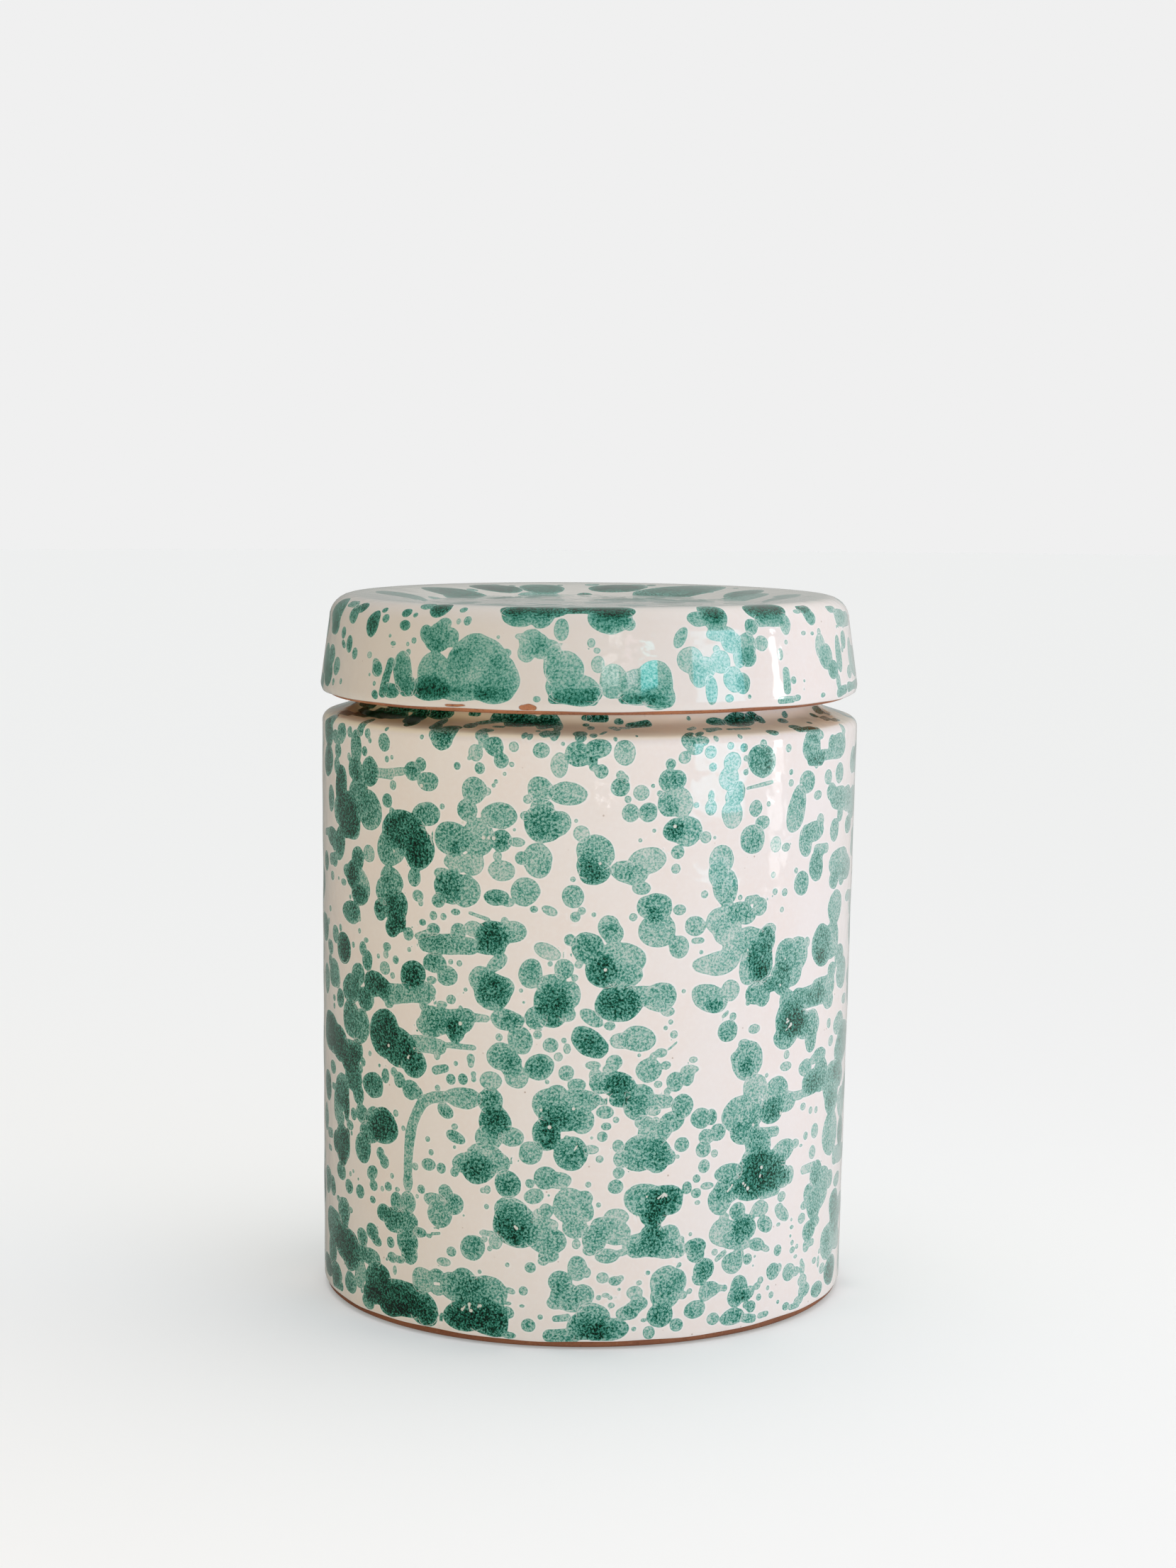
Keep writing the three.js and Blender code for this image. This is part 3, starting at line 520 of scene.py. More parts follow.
        (38.5, 38, 4.5, 4), (57, 38.2, 3, 2.6), (41.5, 32, 2.8, 2.6), (46, 26.8, 1.8, 2.3),
        (29.3, 24.5, 3.1, 2.4), (29.5, 22.3, 2.5, 2), (30.8, 16.2, 2, 1.6), (54.2, 14.5, 2.6, 2.4),
        (42.5, 12.5, 2.8, 2.9), (41.5, 10.2, 2.6, 2.5), (41.5, 5, 2, 1.8), (73, 36.5, 3.5, 3.2),
        (72.5, 28, 4.5, 4), (70, 22, 3.3, 2.8), (-86, 131, 2.5, 3.5), (-85, 121, 5, 2.5),
        (-92, 114, 3, 2.5), (-83, 115, 2, 1.5), (-87, 92, 2.7, 2.3), (-96, 97, 5, 3), (-84, 86, 4.5, 4),
        (-91, 31, 4, 2.5), (-77, 25, 4, 3.5), (80, 132, 6, 3), (90, 66, 7, 5), (82, 58, 7, 6),
        (-37.8, 148.9, 3.1, 2.9), (-24.5, 156, 1.8, 0.6), (-8.3, 157, 1.3, 2.2),
        (-10.9, 152.8, 1.7, 1.9), (-26, 153.4, 1.2, 0.9), (-2.2, 153, 1.9, 1.8), (0.4, 156.8, 1.1, 1.2),
        (8.2, 159.8, 1.4, 1.1), (6.2, 157, 1.2, 0.8), (7.2, 156, 1, 0.7), (3.5, 153.7, 1.5, 0.5, 52),
        (32.6, 154.5, 1.9, 0.7, 22), (38.5, 154.9, 1, 0.5), (50, 151.8, 2, 1.3),
        (53, 158.8, 1.9, 1.4, 40), (65.3, 159.9, 1.8, 0.9, 25), (70.4, 154.9, 1.1, 0.7),
        (60.8, 153.7, 2.4, 1.4), (92.5, 157.2, 2, 0.8), (86.3, 153.8, 3, 1), (-77.5, 148.4, 2.8, 2),
        (90, 124.5, 4, 2.8), (88, 113.5, 6, 3), (78, 111.5, 3.6, 2.8), (82.5, 53.5, 5.5, 3.8),
        (82, 16, 3.2, 3.6), (-80.3, 143.2, 2.4, 2), (-83.5, 119, 1.5, 1.4), (-74, 113.5, 2.8, 2),
        (-94, 96, 5, 3.6, 10), (-84.5, 56, 2, 0.9), (-79, 35, 3.4, 2.5), (-91, 29.5, 3.5, 3, 25),
        (-85.3, 29, 2.4, 2.2), (-82, 4.2, 4.5, 1.5),
    ],
    "rich": [
        (-11, 130, 4.6), (-21.5, 125.5, 2.7), (-69.5, 139.5, 3.4, 3.2), (-62.3, 139.8, 3.7),
        (-46.5, 140.8, 2.4), (45.5, 144.5, 4.3, 4.2), (-68.5, 117.3, 3), (-72, 103.3, 5, 2.9),
        (-58.2, 105.7, 2.8), (-35.5, 113.3, 4.7, 4.3), (-72, 83.5, 5, 4), (-65, 82, 4, 3),
        (-22.5, 111.6, 3.8, 2.2), (0, 100.3, 3.9), (-19.5, 81.6, 4.6, 2.8), (48.5, 99.5, 3, 3.5),
        (54.5, 89.5, 4, 4.5), (72.5, 95.3, 5.8, 5.5), (59, 79, 6, 5), (-72, 76, 5, 5),
        (-69, 68, 3, 2.8), (-71, 61, 4.5, 4), (-68.5, 57, 3, 3), (-61.5, 60.6, 4.5, 3.3),
        (-66, 43.5, 3.8, 3.6), (-18.5, 70.5, 2.6, 3.2), (-11, 70.3, 3.8, 3, 25), (-3.3, 49.1, 4.4, 4.2),
        (-23.5, 61, 3.5), (-18.8, 40.5, 3.6, 3.2), (18.5, 48, 4, 4.5), (43.5, 68.5, 3, 2.5),
        (52.3, 56, 4.3, 3.8), (69, 60.5, 4.8, 3.3), (-56.8, 28.6, 2.6, 2.2), (-53, 27.3, 3.8, 3.2),
        (-48.2, 22.5, 4, 3.5), (-47.5, 19.7, 3, 2.7), (-43, 6.5, 4.8, 4.3), (-28, 10.5, 6, 6),
        (16, 24.8, 4.5, 1.8), (0, 5.7, 3.4, 3.4), (20, 8, 3.3, 3.2), (43.5, 27.5, 3.9, 3.8),
        (32, 18.5, 2.9), (-89, 147, 5, 3.5), (-89, 140, 5, 4), (-79, 120, 3.5, 4.5),
        (-79, 80, 2.5, 2.3), (-91, 55, 4, 4.5), (-78, 56, 5), (-85, 19, 8, 5), (-83, 7, 5, 3),
        (90, 21, 6, 5), (85, 8, 5, 4), (-42.3, 156.2, 1.5, 2.6), (-42, 153.8, 1.7, 1.8),
        (-36.9, 153.9, 2.5, 1.2), (-32.5, 155.8, 1.8, 1.5), (-27.5, 158.6, 5, 1, 18),
        (-12.5, 156.8, 1.7, 1.6), (-1, 158.4, 1, 0.8), (13.5, 158.6, 3.8, 1.4, 8),
        (25.3, 152.5, 2, 1, 38), (28.4, 152.8, 1.9, 0.9, 35), (36.6, 159.2, 3.1, 1.6),
        (61, 157.5, 2.6, 1.5, 12), (80.8, 158, 2, 1.4), (90, 159.3, 4.5, 1.3), (70, 82.5, 6, 2.6),
        (93, 67.5, 8, 5, -10), (88, 60.5, 6, 3, -25), (88, 24.5, 5, 4.5, -35), (86, 8, 5, 4),
        (-76.5, 23, 2.8, 3.5), (-87, 12.5, 4.2, 4, -35), (-82, 15.5, 3, 2),
    ],
    "deep": [
        (0.8, 145.3, 1.2), (0, 120, 3), (2, 118, 3.9, 3), (21.3, 128.5, 3), (-50, 126, 7.5, 5.2),
        (-45, 122, 5), (-46, 123, 2), (-45.5, 119.5, 2), (-72, 127, 5), (-34, 123, 2),
        (66, 143.3, 4, 1.8), (-71.5, 113, 3.5), (-67.5, 108, 4, 2.5), (-52.5, 107, 4.5, 4.3),
        (-53.5, 101.8, 2.5), (-51.5, 103.5, 2.8), (-23.5, 102, 4.8, 3.6), (-24, 99, 4, 1.6),
        (-76.5, 93.5, 4.8, 4.2), (-61, 86.5, 4.2, 3.3), (-57, 85.7, 2.6), (-46.5, 90.3, 4.1, 3.6),
        (-23, 88.5, 4.8), (16.5, 107.5, 2), (-8, 86.3, 4.8), (-8, 82, 3, 2), (4, 94, 4),
        (8, 86.2, 6, 4.7), (46.5, 94.5, 4.5, 5.4), (47, 92.5, 2.5), (50.5, 88, 3, 2),
        (33, 84.5, 2.5, 1.8), (-57, 74.5, 5.8, 6), (-51, 71.5, 6, 5), (-46.5, 68.5, 4, 3.8),
        (-33.5, 78.5, 3, 3.5), (-73, 66, 5.5, 4.5), (-57.5, 50.7, 5.4, 4.5), (-27, 44, 4.5, 4),
        (-75, 53, 2, 4), (-74.5, 43, 1.5, 4), (1, 76.7, 4.9, 3.2, -30), (8.5, 66, 4.3, 3.4),
        (9, 62.5, 3, 2), (-5.5, 58, 5.5, 3.7), (-9.3, 53.5, 3.8, 4.2), (-22.5, 56.5, 4.2, 4.5),
        (61, 77, 5.5, 4), (49, 42, 8, 4.5), (-73.5, 15.8, 5.7, 5.3, -20), (-59.5, 10.5, 5.6, 5),
        (-61, 7, 4.5, 3), (-50, 7.7, 8.5, 5), (-53.5, 5, 5, 3), (-41.5, 4.5, 3, 2.5), (-30, 6, 6.5, 4),
        (-17.5, 31, 5.3, 5.5), (-15.5, 28.3, 4.5, 3.4), (20.5, 37, 5.2, 4), (18, 33.5, 3.3, 3),
        (18, 30.8, 1.8), (18, 27, 3.5, 4), (-22.8, 6.3, 4.4, 4.5), (-24.5, 4.5, 5, 2.7),
        (3.7, 4.7, 4.5, 2.6), (45, 38, 6, 4.3), (53, 38.3, 5.5, 3.2), (44, 10, 3, 1.5),
        (-78, 135, 4, 5), (-75, 128, 6), (-100, 107, 5), (-88, 70, 7, 5), (-80, 68, 6, 4.5),
        (-78, 42, 5, 5.5), (-82, 42, 3), (-77, 17, 7, 5), (-93, 7, 6, 3), (-86, 154.3, 5.5, 1.3),
        (-85, 160.3, 8, 1.3), (-82, 158, 3, 1.2), (-76.5, 156.3, 5.5, 2.2), (-69, 157.5, 6.5, 2.5),
        (-61.5, 157.8, 5, 2.4), (-64, 160.6, 6, 1.4), (-57.5, 161, 3.5, 1.2), (-52.8, 158.2, 3.6, 4),
        (-51, 154.6, 2, 2.4), (-45.5, 160.3, 4.8, 2.3), (-23, 160.2, 5.5, 1.6), (-19, 159, 5, 2.2),
        (-20.5, 157.2, 2.5, 0.8), (-34, 160.9, 2, 0.7), (-11.5, 159, 3.6, 2.9), (-1, 160.8, 1.3, 0.8),
        (2.3, 160.8, 3, 1.2), (45, 159, 5.4, 2.8), (50.5, 160, 2.6, 1.6), (63.3, 152, 4.6, 1.1),
        (66.8, 151.5, 2.4, 0.7), (72, 92.5, 3, 2.5), (86.5, 59, 5, 2, -25), (-76.5, 92, 2.8, 2.2),
        (-84, 67, 5, 2.5), (-79, 67.5, 4, 2.5), (-78, 39, 3.2, 2.6), (-73.5, 15.5, 4, 4),
    ],
}

LID_SPLASHES = {
    "pale": [
        (-34.3, 178.6, 0.7, 0.9), (-49.5, 172.3, 0.6), (-56.3, 174.1, 0.5), (-23, 175, 0.5),
        (-17.5, 175.3, 1.2, 0.8), (-12.6, 160, 1, 0.8), (0.4, 173.9, 1, 1.2), (1.8, 172, 0.8, 0.7),
        (2, 168.5, 1.6, 2), (25, 169.5, 3.3, 3.2), (29.5, 167.5, 2.2, 2.5), (33.5, 169, 2.8),
        (32.5, 172, 1), (39, 170, 1.8, 2.8), (37, 164.5, 2.7, 3), (35.3, 159.8, 1.2, 1),
        (52.5, 170, 1, 1.5), (53.7, 158.6, 3.2, 0.9), (57.5, 158.9, 1.4, 0.9), (56.6, 163.4, 1.1, 1.1),
        (55, 173, 0.6), (60.8, 163, 0.4), (60.3, 161, 0.3), (41.3, 160, 0.5), (62.5, 175, 1.2, 0.7),
        (66.5, 174.7, 1, 0.6), (62, 180.5, 1.5, 0.5), (70, 171.5, 3, 3.5), (70, 175, 1),
        (78.5, 161.5, 1.5, 2), (79.5, 159, 3, 1.4), (68.8, 158.9, 1.2, 0.7), (84.5, 169.8, 1),
        (92, 177, 6, 2), (93, 168, 3, 5), (97, 166, 6, 4), (89.5, 163.5, 2.5, 1.7), (-80, 181, 3, 0.8),
        (-64, 168.8, 1, 0.8), (-83.3, 160.7, 0.8), (-77.8, 161.2, 0.8), (-63, 163.9, 0.4),
        (-60.6, 161.8, 0.6),
    ],
    "soft": [
        (-46.5, 181.8, 2.5, 0.7), (-34.2, 181.4, 1.3, 0.7), (-58.8, 178.4, 1.4, 1.1),
        (-54.8, 172.2, 1, 0.6), (-38, 178, 2.2, 1.5), (-36, 174.5, 2.5, 3), (-40.5, 166.2, 5.3, 4.8),
        (-28.5, 168, 8.4, 7.7), (-32, 161.5, 6, 2.8), (-20.5, 171.2, 1.2, 1), (-14.5, 174, 3.3, 3),
        (-15.8, 171.3, 2.2, 2.6), (-47.5, 162, 2, 2.3), (-7, 177.2, 1.9, 2.8), (10, 178.5, 1.6),
        (-9.5, 172, 2.4, 2.6), (-8.5, 169, 2.5, 4.3), (-5.5, 167, 4.5, 5), (-4, 162.5, 6.5, 4.2),
        (6, 164.5, 3.5, 4.2), (11, 163, 4, 4.4), (16, 164, 4.7, 5.3), (17, 161, 4, 3.6),
        (23, 175.2, 1.6, 3.1, -28), (27, 165.5, 2.2, 3.3, 20), (30.5, 161.5, 1.8, 3.5),
        (28, 179.5, 3.3, 2), (34, 175.8, 4, 1.9), (37, 173.5, 3, 2.6), (41.5, 172.6, 3, 3.2),
        (46.2, 173, 2.2, 2),
        (55.5, 177.5, 2, 2.7), (72.5, 168.5, 4, 3.8), (81, 169, 2.2, 4.3), (81.5, 159.3, 3, 1.2),
        (86.5, 172, 2.8, 2.4, 35), (82, 180.3, 3.3, 0.8), (87, 178, 5, 2.5), (95, 159.7, 10, 1.3),
        (-71.3, 168.8, 1.6, 1.7), (-82.3, 165, 2.3, 2.2), (-99, 160, 5, 2),
    ],
    "mid": [
        (-48.3, 179.7, 0.9, 0.7), (-31.8, 178.8, 1.1, 1.2), (-47.5, 173.3, 1), (-44, 175.3, 2, 2.2),
        (-42.5, 174.2, 3.3, 2.2, -30), (-39, 175, 3.6, 3.4), (-33, 168.5, 4, 4.5), (-22, 165, 4.9, 5.6),
        (-24, 162.3, 5.5, 3.6), (-12, 173, 2.2, 3), (-50.5, 165.5, 3.7, 4.8), (-49, 162.5, 2.8, 3),
        (-49, 170.3, 0.9), (-60, 159, 1.4, 1.3), (17, 159, 3.4, 1.1), (39.5, 163.5, 2.2, 2.5),
        (43.4, 177.3, 2), (50, 178.7, 5, 1.5), (54, 163.5, 1.4, 3.5), (66.5, 179, 2.6, 2.4),
        (75.5, 165, 3.2, 2.6), (-89, 178, 6, 3.8), (-75, 178.5, 2.6, 2.3), (-60.7, 180.4, 1.1, 0.6),
        (-80, 173.7, 1.9, 1.8), (-79, 170.7, 1.7, 0.9, -25), (-75.2, 171, 1.9, 2.3, 10),
        (-60, 166, 2.5, 1.6, -45), (-88, 167.5, 3.5, 3), (-95, 166, 5, 4), (-101, 175, 4, 4),
    ],
    "rich": [
        (-51.7, 180.1, 1.9, 1.1), (-51, 177, 2, 1.4), (-40, 172.5, 3.8, 2), (-41, 162, 5.6, 3.2),
        (-56, 163.5, 1.6, 5.4, -15), (-54, 160.5, 3.2, 2.2), (-60, 165.6, 2, 1.9),
        (-31.5, 161.5, 5, 0.9),
        (-18, 180, 5, 2.5), (-12, 179.8, 3.2, 2.3), (5, 179.3, 6, 2.9), (-3, 161.5, 6, 1.6),
        (13, 160.4, 6, 1.5), (32.5, 179.5, 4, 3), (41.5, 170, 2.8, 2.5), (-88, 175, 4.5, 2.8),
        (-72, 180.4, 2.7, 1.2), (-90, 163, 4.5, 3.8),
    ],
    "deep": [
        (-41.3, 181.2, 3.4, 1.7), (-40, 161.3, 5, 1.2), (-24, 160.8, 5, 1.3), (-19, 181.3, 5, 1.4),
        (-11, 181.3, 6, 1.5), (-1, 181.9, 6, 1), (6.5, 181.3, 6, 1.5), (-4, 160, 6, 1.3),
        (10, 160.2, 3, 1.2), (32.5, 180, 3, 2), (50, 180.6, 7.5, 2), (66, 181, 3, 0.8),
        (-64.2, 176.8, 2.7, 3.4, -25),
    ],
}

# Glaze skipped the clay here, at the lid's lower edge
LID_SKIPS = [
    (-14.9, 157.7, 2.2, 0.75), (-14.6, 158.3, 0.9, 0.5), (-34.5, 157.55, 2.2, 0.35),
    (-31.8, 157.7, 0.8, 0.3),
]

# Large splashes on the lid's top, as right and back from its middle, across and deep, in mm
LID_TOP_SPLASHES = {
    "pale": [(-5, -40, 5, 4), (38, -28, 4), (-38, -30, 4), (2, 2, 4)],
    "soft": [(-50, 8, 7, 6), (-12, 38, 8, 6), (40, 20, 8, 6), (-24, -12, 6)],
    "mid": [(-30, 24, 10, 7), (12, 16, 11, 8), (50, 3, 5), (-6, -18, 5), (18, -24, 7)],
    "rich": [(24, 42, 13, 8), (-36, 30, 10, 7), (-13, 48, 6), (42, 28, 5.5)],
    "deep": [(8, 50, 8, 5), (27, -43, 6), (-26, 44, 7, 5)],
}


def straight(start, end, step):
    """Points from start up to, but not at, end."""
    start, end = np.array(start, float), np.array(end, float)
    count = max(1, round(np.linalg.norm(end - start) / step))
    return [start + (end - start) * i / count for i in range(count)]


def at_angle(radius, height, size, angle):
    """A point of a round about a centre, at an angle in degrees from outward."""
    turn = math.radians(angle)
    return np.array((radius + size * math.cos(turn), height + size * math.sin(turn)))


def round_about(radius, height, size, begin, end, step):
    """Points of a round about a centre, from one angle up to, but not at, another."""
    count = max(2, round(math.radians(abs(end - begin)) * size / step))
    return [at_angle(radius, height, size, begin + (end - begin) * i / count) for i in range(count)]


def joined(*stretches):
    return [point for stretch in stretches for point in stretch]


def beside_shoulder(radius, distance):
    """The height of a line beside the shoulder's slope, this far outside the middle of its round."""
    rise = math.radians(SHOULDER_RISE)
    inwards = radius - JAR_RADIUS + SHOULDER_ROUND
    return SHOULDER + (distance - inwards * math.sin(rise)) / math.cos(rise)


def jar_outside(depth, step):
    """The jar's glazed line from the foot over the shoulder and neck, this deep under the surface."""
    base = JAR_RADIUS - WALL_TAPER - depth
    root = NECK_RADIUS + NECK_ROOT_ROUND
    root_height = beside_shoulder(root, SHOULDER_ROUND + NECK_ROOT_ROUND)
    rim_height = NECK_TOP - NECK_WALL / 2
    wall_round = (JAR_RADIUS - SHOULDER_ROUND, SHOULDER, SHOULDER_ROUND - depth)
    turn_up = round_about(root, root_height, NECK_ROOT_ROUND + depth, 270 - SHOULDER_RISE, 180, step)
    return joined(
        straight((base, JAR_GLAZE_FOOT), (JAR_RADIUS - depth, SHOULDER), step),
        round_about(*wall_round, 0, 90 - SHOULDER_RISE, step / 3),
        straight(at_angle(*wall_round, 90 - SHOULDER_RISE), turn_up[0], step),
        turn_up,
        straight((NECK_RADIUS - depth, root_height), (NECK_RADIUS - depth, rim_height), 2 * step),
        round_about(NECK_RADIUS - NECK_WALL / 2, rim_height, NECK_WALL / 2 - depth, 0, 180, step),
    )


def jar_inside(depth, step):
    """The glazed line of the jar from the neck's rim down inside to the middle of the floor."""
    inner = NECK_RADIUS - NECK_WALL
    hollow = JAR_RADIUS - WALL
    base = hollow - WALL_TAPER
    lip = inner + NECK_LIP_ROUND
    lip_height = beside_shoulder(lip, SHOULDER_ROUND - WALL + NECK_LIP_ROUND)
    turn = hollow - HOLLOW_ROUND
    turn_height = beside_shoulder(turn, SHOULDER_ROUND - WALL - HOLLOW_ROUND)
    return joined(
        straight((inner + depth, NECK_TOP - NECK_WALL / 2), (inner + depth, lip_height), step),
        round_about(lip, lip_height, NECK_LIP_ROUND - depth, 180, 270 - SHOULDER_RISE, step / 4),
        round_about(turn, turn_height, HOLLOW_ROUND + depth, 90 - SHOULDER_RISE, 0, step / 4),
        straight((hollow + depth, turn_height), (base + depth, FLOOR_TOP + FLOOR_ROUND), step),
        round_about(base - FLOOR_ROUND, FLOOR_TOP + FLOOR_ROUND, FLOOR_ROUND + depth, 0, -90, step / 4),
        straight((base - FLOOR_ROUND, FLOOR_TOP - depth), (0, FLOOR_TOP - depth), step),
        [np.array((0.0, FLOOR_TOP - depth))],
    )


def jar_foot(step):
    """The bare clay of the jar, from the middle of the underside out to where the glaze begins."""
    ring = JAR_RADIUS - WALL_TAPER - FOOT_INSET
    wall = JAR_RADIUS - WALL_TAPER - COAT
    inner = ring - FOOT_RING
    # Each corner's radius and height, and the longest step on the way to the next corner
    corners = [
        (0, FOOT_HOLLOW, step),
        (inner - FOOT_HOLLOW, FOOT_HOLLOW, 1),
        (inner, 0.1, 1),
        (inner + 0.6, 0, 2),
        (ring - 0.3, 0, 1),
        (ring, 0.15, 0.3),
        (wall, 0.8, 0.3),
        (wall, JAR_GLAZE_FOOT, None),
    ]
    stretches = zip(corners[:-1], corners[1:])
    return joined(*[straight(start[:2], end[:2], start[2]) for start, end in stretches])


def dish_slope(depth, step):
    """The slope from the lid's crest down into the dish, level at both ends."""
    slope = []
    count = max(6, round(DISH_SLOPE / step))
    for i in range(count):
        t = i / count
        ease = 3 * t * t - 2 * t ** 3
        across = 1.5 * t * (1 - t) + t ** 3 + 1.5 * t * t * (1 - t)
        slope.append(np.array((CREST_RADIUS - DISH_SLOPE * across, CREST - depth - DISH_DEPTH * ease)))
    return slope


def lid_outside(depth, step):
    """The lid's glazed line from its bare rim up over the edge to the middle of the dished top."""
    rim = LID_RADIUS - LID_RIM_ROUND
    rim_height = LID_RIM + LID_RIM_ROUND - COAT
    dish = CREST - depth - DISH_DEPTH
    side = ((LID_RADIUS - depth, rim_height), (LID_RADIUS - LID_TAPER - depth, LID_SHOULDER))
    return joined(
        round_about(rim, rim_height, LID_RIM_ROUND - depth, LID_RIM_BARE - 90, 0, step / 2),
        straight(*side, step),
        round_about(CREST_RADIUS, LID_SHOULDER, LID_EDGE_ROUND - depth, 0, 90, step),
        dish_slope(depth, step),
        straight((CREST_RADIUS - DISH_SLOPE, dish), (0, dish), step),
        [np.array((0.0, dish))],
    )


def lid_inside(depth, step):
    """The glazed line of the lid's hollow, from its middle out and down to its lower edge."""
    turn = LID_INNER_RADIUS - LID_HOLLOW_ROUND
    turn_height = LID_UNDERSIDE - LID_HOLLOW_ROUND
    side = LID_INNER_RADIUS + depth
    return joined(
        straight((0, LID_UNDERSIDE + depth), (turn, LID_UNDERSIDE + depth), step),
        round_about(turn, turn_height, LID_HOLLOW_ROUND + depth, 90, 0, step / 4),
        straight((side, turn_height), (side, LID_INNER_FOOT), step),
        [np.array((side, float(LID_INNER_FOOT)))],
    )


def lid_rim(step):
    """The bare clay that the lid stands on, from inside round to where the outer glaze begins."""
    inner = LID_INNER_RADIUS + COAT
    rim = LID_RADIUS - LID_RIM_ROUND
    clay_round = LID_RIM_ROUND - COAT
    return joined(
        straight((inner, LID_INNER_FOOT), (inner, LID_RIM + CORNER), step),
        straight((inner, LID_RIM + CORNER), (inner + CORNER, LID_RIM), step),
        straight((inner + CORNER, LID_RIM), (rim, LID_RIM), step),
        round_about(rim, LID_RIM + LID_RIM_ROUND - COAT, clay_round, -90, LID_RIM_BARE - 90, CORNER),
    )


def waves(turn, parts):
    """A sum of waves round the axis."""
    return sum(size * np.sin(count * turn + start) for size, count, start in parts)


def part_way(value, begin, end):
    """How far values have come from begin to end, from 0 to 1."""
    return np.clip((value - begin) / (end - begin), 0, 1)


def thrown_jar(radius, height, turn):
    """The jar's unevenness: its wall is off round, ribbed by the fingers and leans as it goes down."""
    slow = waves(turn, JAR_OFF_ROUND) * part_way(height, 0, 150)
    ribs = 0.035 * np.sin(height / 2.9 + turn) + 0.03 * np.sin(height / 5.3 - turn + 1)
    outer = part_way(radius, 50, 60) * part_way(height, 0, 4)
    uneven = radius + (slow + ribs) * outer
    lean = JAR_LEAN * np.clip(1 - height / LID_RIM, 0, 1)
    right = lean + uneven * np.sin(turn)
    shoulder = part_way(height, 135, 149) * np.clip((NECK_TOP - height) / 14, 0, 1)
    return right, -uneven * np.cos(turn), height + SHOULDER_TILT * right * shoulder


def thrown_lid(radius, height, turn):
    """The lid's unevenness: it sits a little aside and off round, and its top is not level."""
    slow = waves(turn, LID_OFF_ROUND)
    outer = part_way(radius, 64, 68)
    uneven = radius - LID_SLIMMER * outer + slow * outer
    right = uneven * np.sin(turn)
    back = -uneven * np.cos(turn)
    share = part_way(height, LID_RIM, CREST)
    plate = waves(turn, LID_OFF_LEVEL) * part_way(radius, 0, 60)
    tilt = LID_TILT_ACROSS * right + LID_TILT_BACK * back - LID_SINK + 0.6 * plate
    return LID_ASIDE + right, back, height + tilt * share ** 2


class Turned:
    """A piece turned about the axis: the place of every point of its profile at every turn."""

    def __init__(self, name, profile, uneven, closed=False, edge=None, columns=COLUMNS):
        self.profile = np.array(profile)
        self.columns = columns
        self.turn = 2 * math.pi * np.arange(columns) / columns - math.pi
        radius, turn = np.meshgrid(self.profile[:, 0], self.turn, indexing="ij")
        height = np.repeat(self.profile[:, 1:2], columns, 1)
        if edge is not None:
            radius, height = edge(radius, height, turn)
        self.places = np.stack(uneven(radius, height, turn), -1)
        self.piece = self.build(name, closed)

    def build(self, name, closed):
        """The mesh: four-sided faces between rings, and three-sided ones where a ring is on the axis."""
        rings = len(self.profile)
        on_axis = self.profile[:, 0] < 1e-6
        widths = np.where(on_axis, 1, self.columns)
        starts = np.concatenate([[0], np.cumsum(widths)[:-1]])
        round_once = np.arange(self.columns)
        self.index = starts[:, None] + np.where(on_axis[:, None], 0, round_once)
        points = np.concatenate([self.places[i, :width] for i, width in enumerate(widths)])
        faces = []
        for a in range(rings if closed else rings - 1):
            b = (a + 1) % rings
            here, there = self.index[a], self.index[b]
            after, beyond = np.roll(here, -1), np.roll(there, -1)
            if on_axis[a] and on_axis[b]:
                continue
            if on_axis[a]:
                corners = [here, beyond, there]
            elif on_axis[b]:
                corners = [here, after, there]
            else:
                corners = [here, after, beyond, there]
            faces += np.stack(corners, 1).tolist()
        self.mesh = bpy.data.meshes.new(name)
        self.mesh.from_pydata((points * MM).tolist(), [], faces)
        self.mesh.polygons.foreach_set("use_smooth", np.ones(len(faces), bool))
        self.mesh.update()
        piece = bpy.data.objects.new(name, self.mesh)
        bpy.context.scene.collection.objects.link(piece)
        return piece

    def store(self, name, values):
        """Keeps three numbers for each point in the mesh, for the material to read."""
        flat = np.zeros((len(self.mesh.vertices), 3), np.float32)
        flat[self.index.ravel()] = values.reshape(-1, 3)
        attribute = self.mesh.attributes.new(name, "FLOAT_VECTOR", "POINT")
        attribute.data.foreach_set("vector", flat.ravel())

    def lengths_up(self, begin):
        """Heights of the rings, and from the ring where a shoulder begins, lengths along the profile."""
        steps = np.linalg.norm(np.diff(self.profile, axis=0), axis=1)
        travel = np.concatenate([[0], np.cumsum(steps)])
        heights = self.profile[:, 1]
        first = int(np.argmax(heights >= begin - 1e-6))
        beyond = np.arange(len(heights)) >= first
        return np.where(beyond, begin + travel - travel[first], heights)


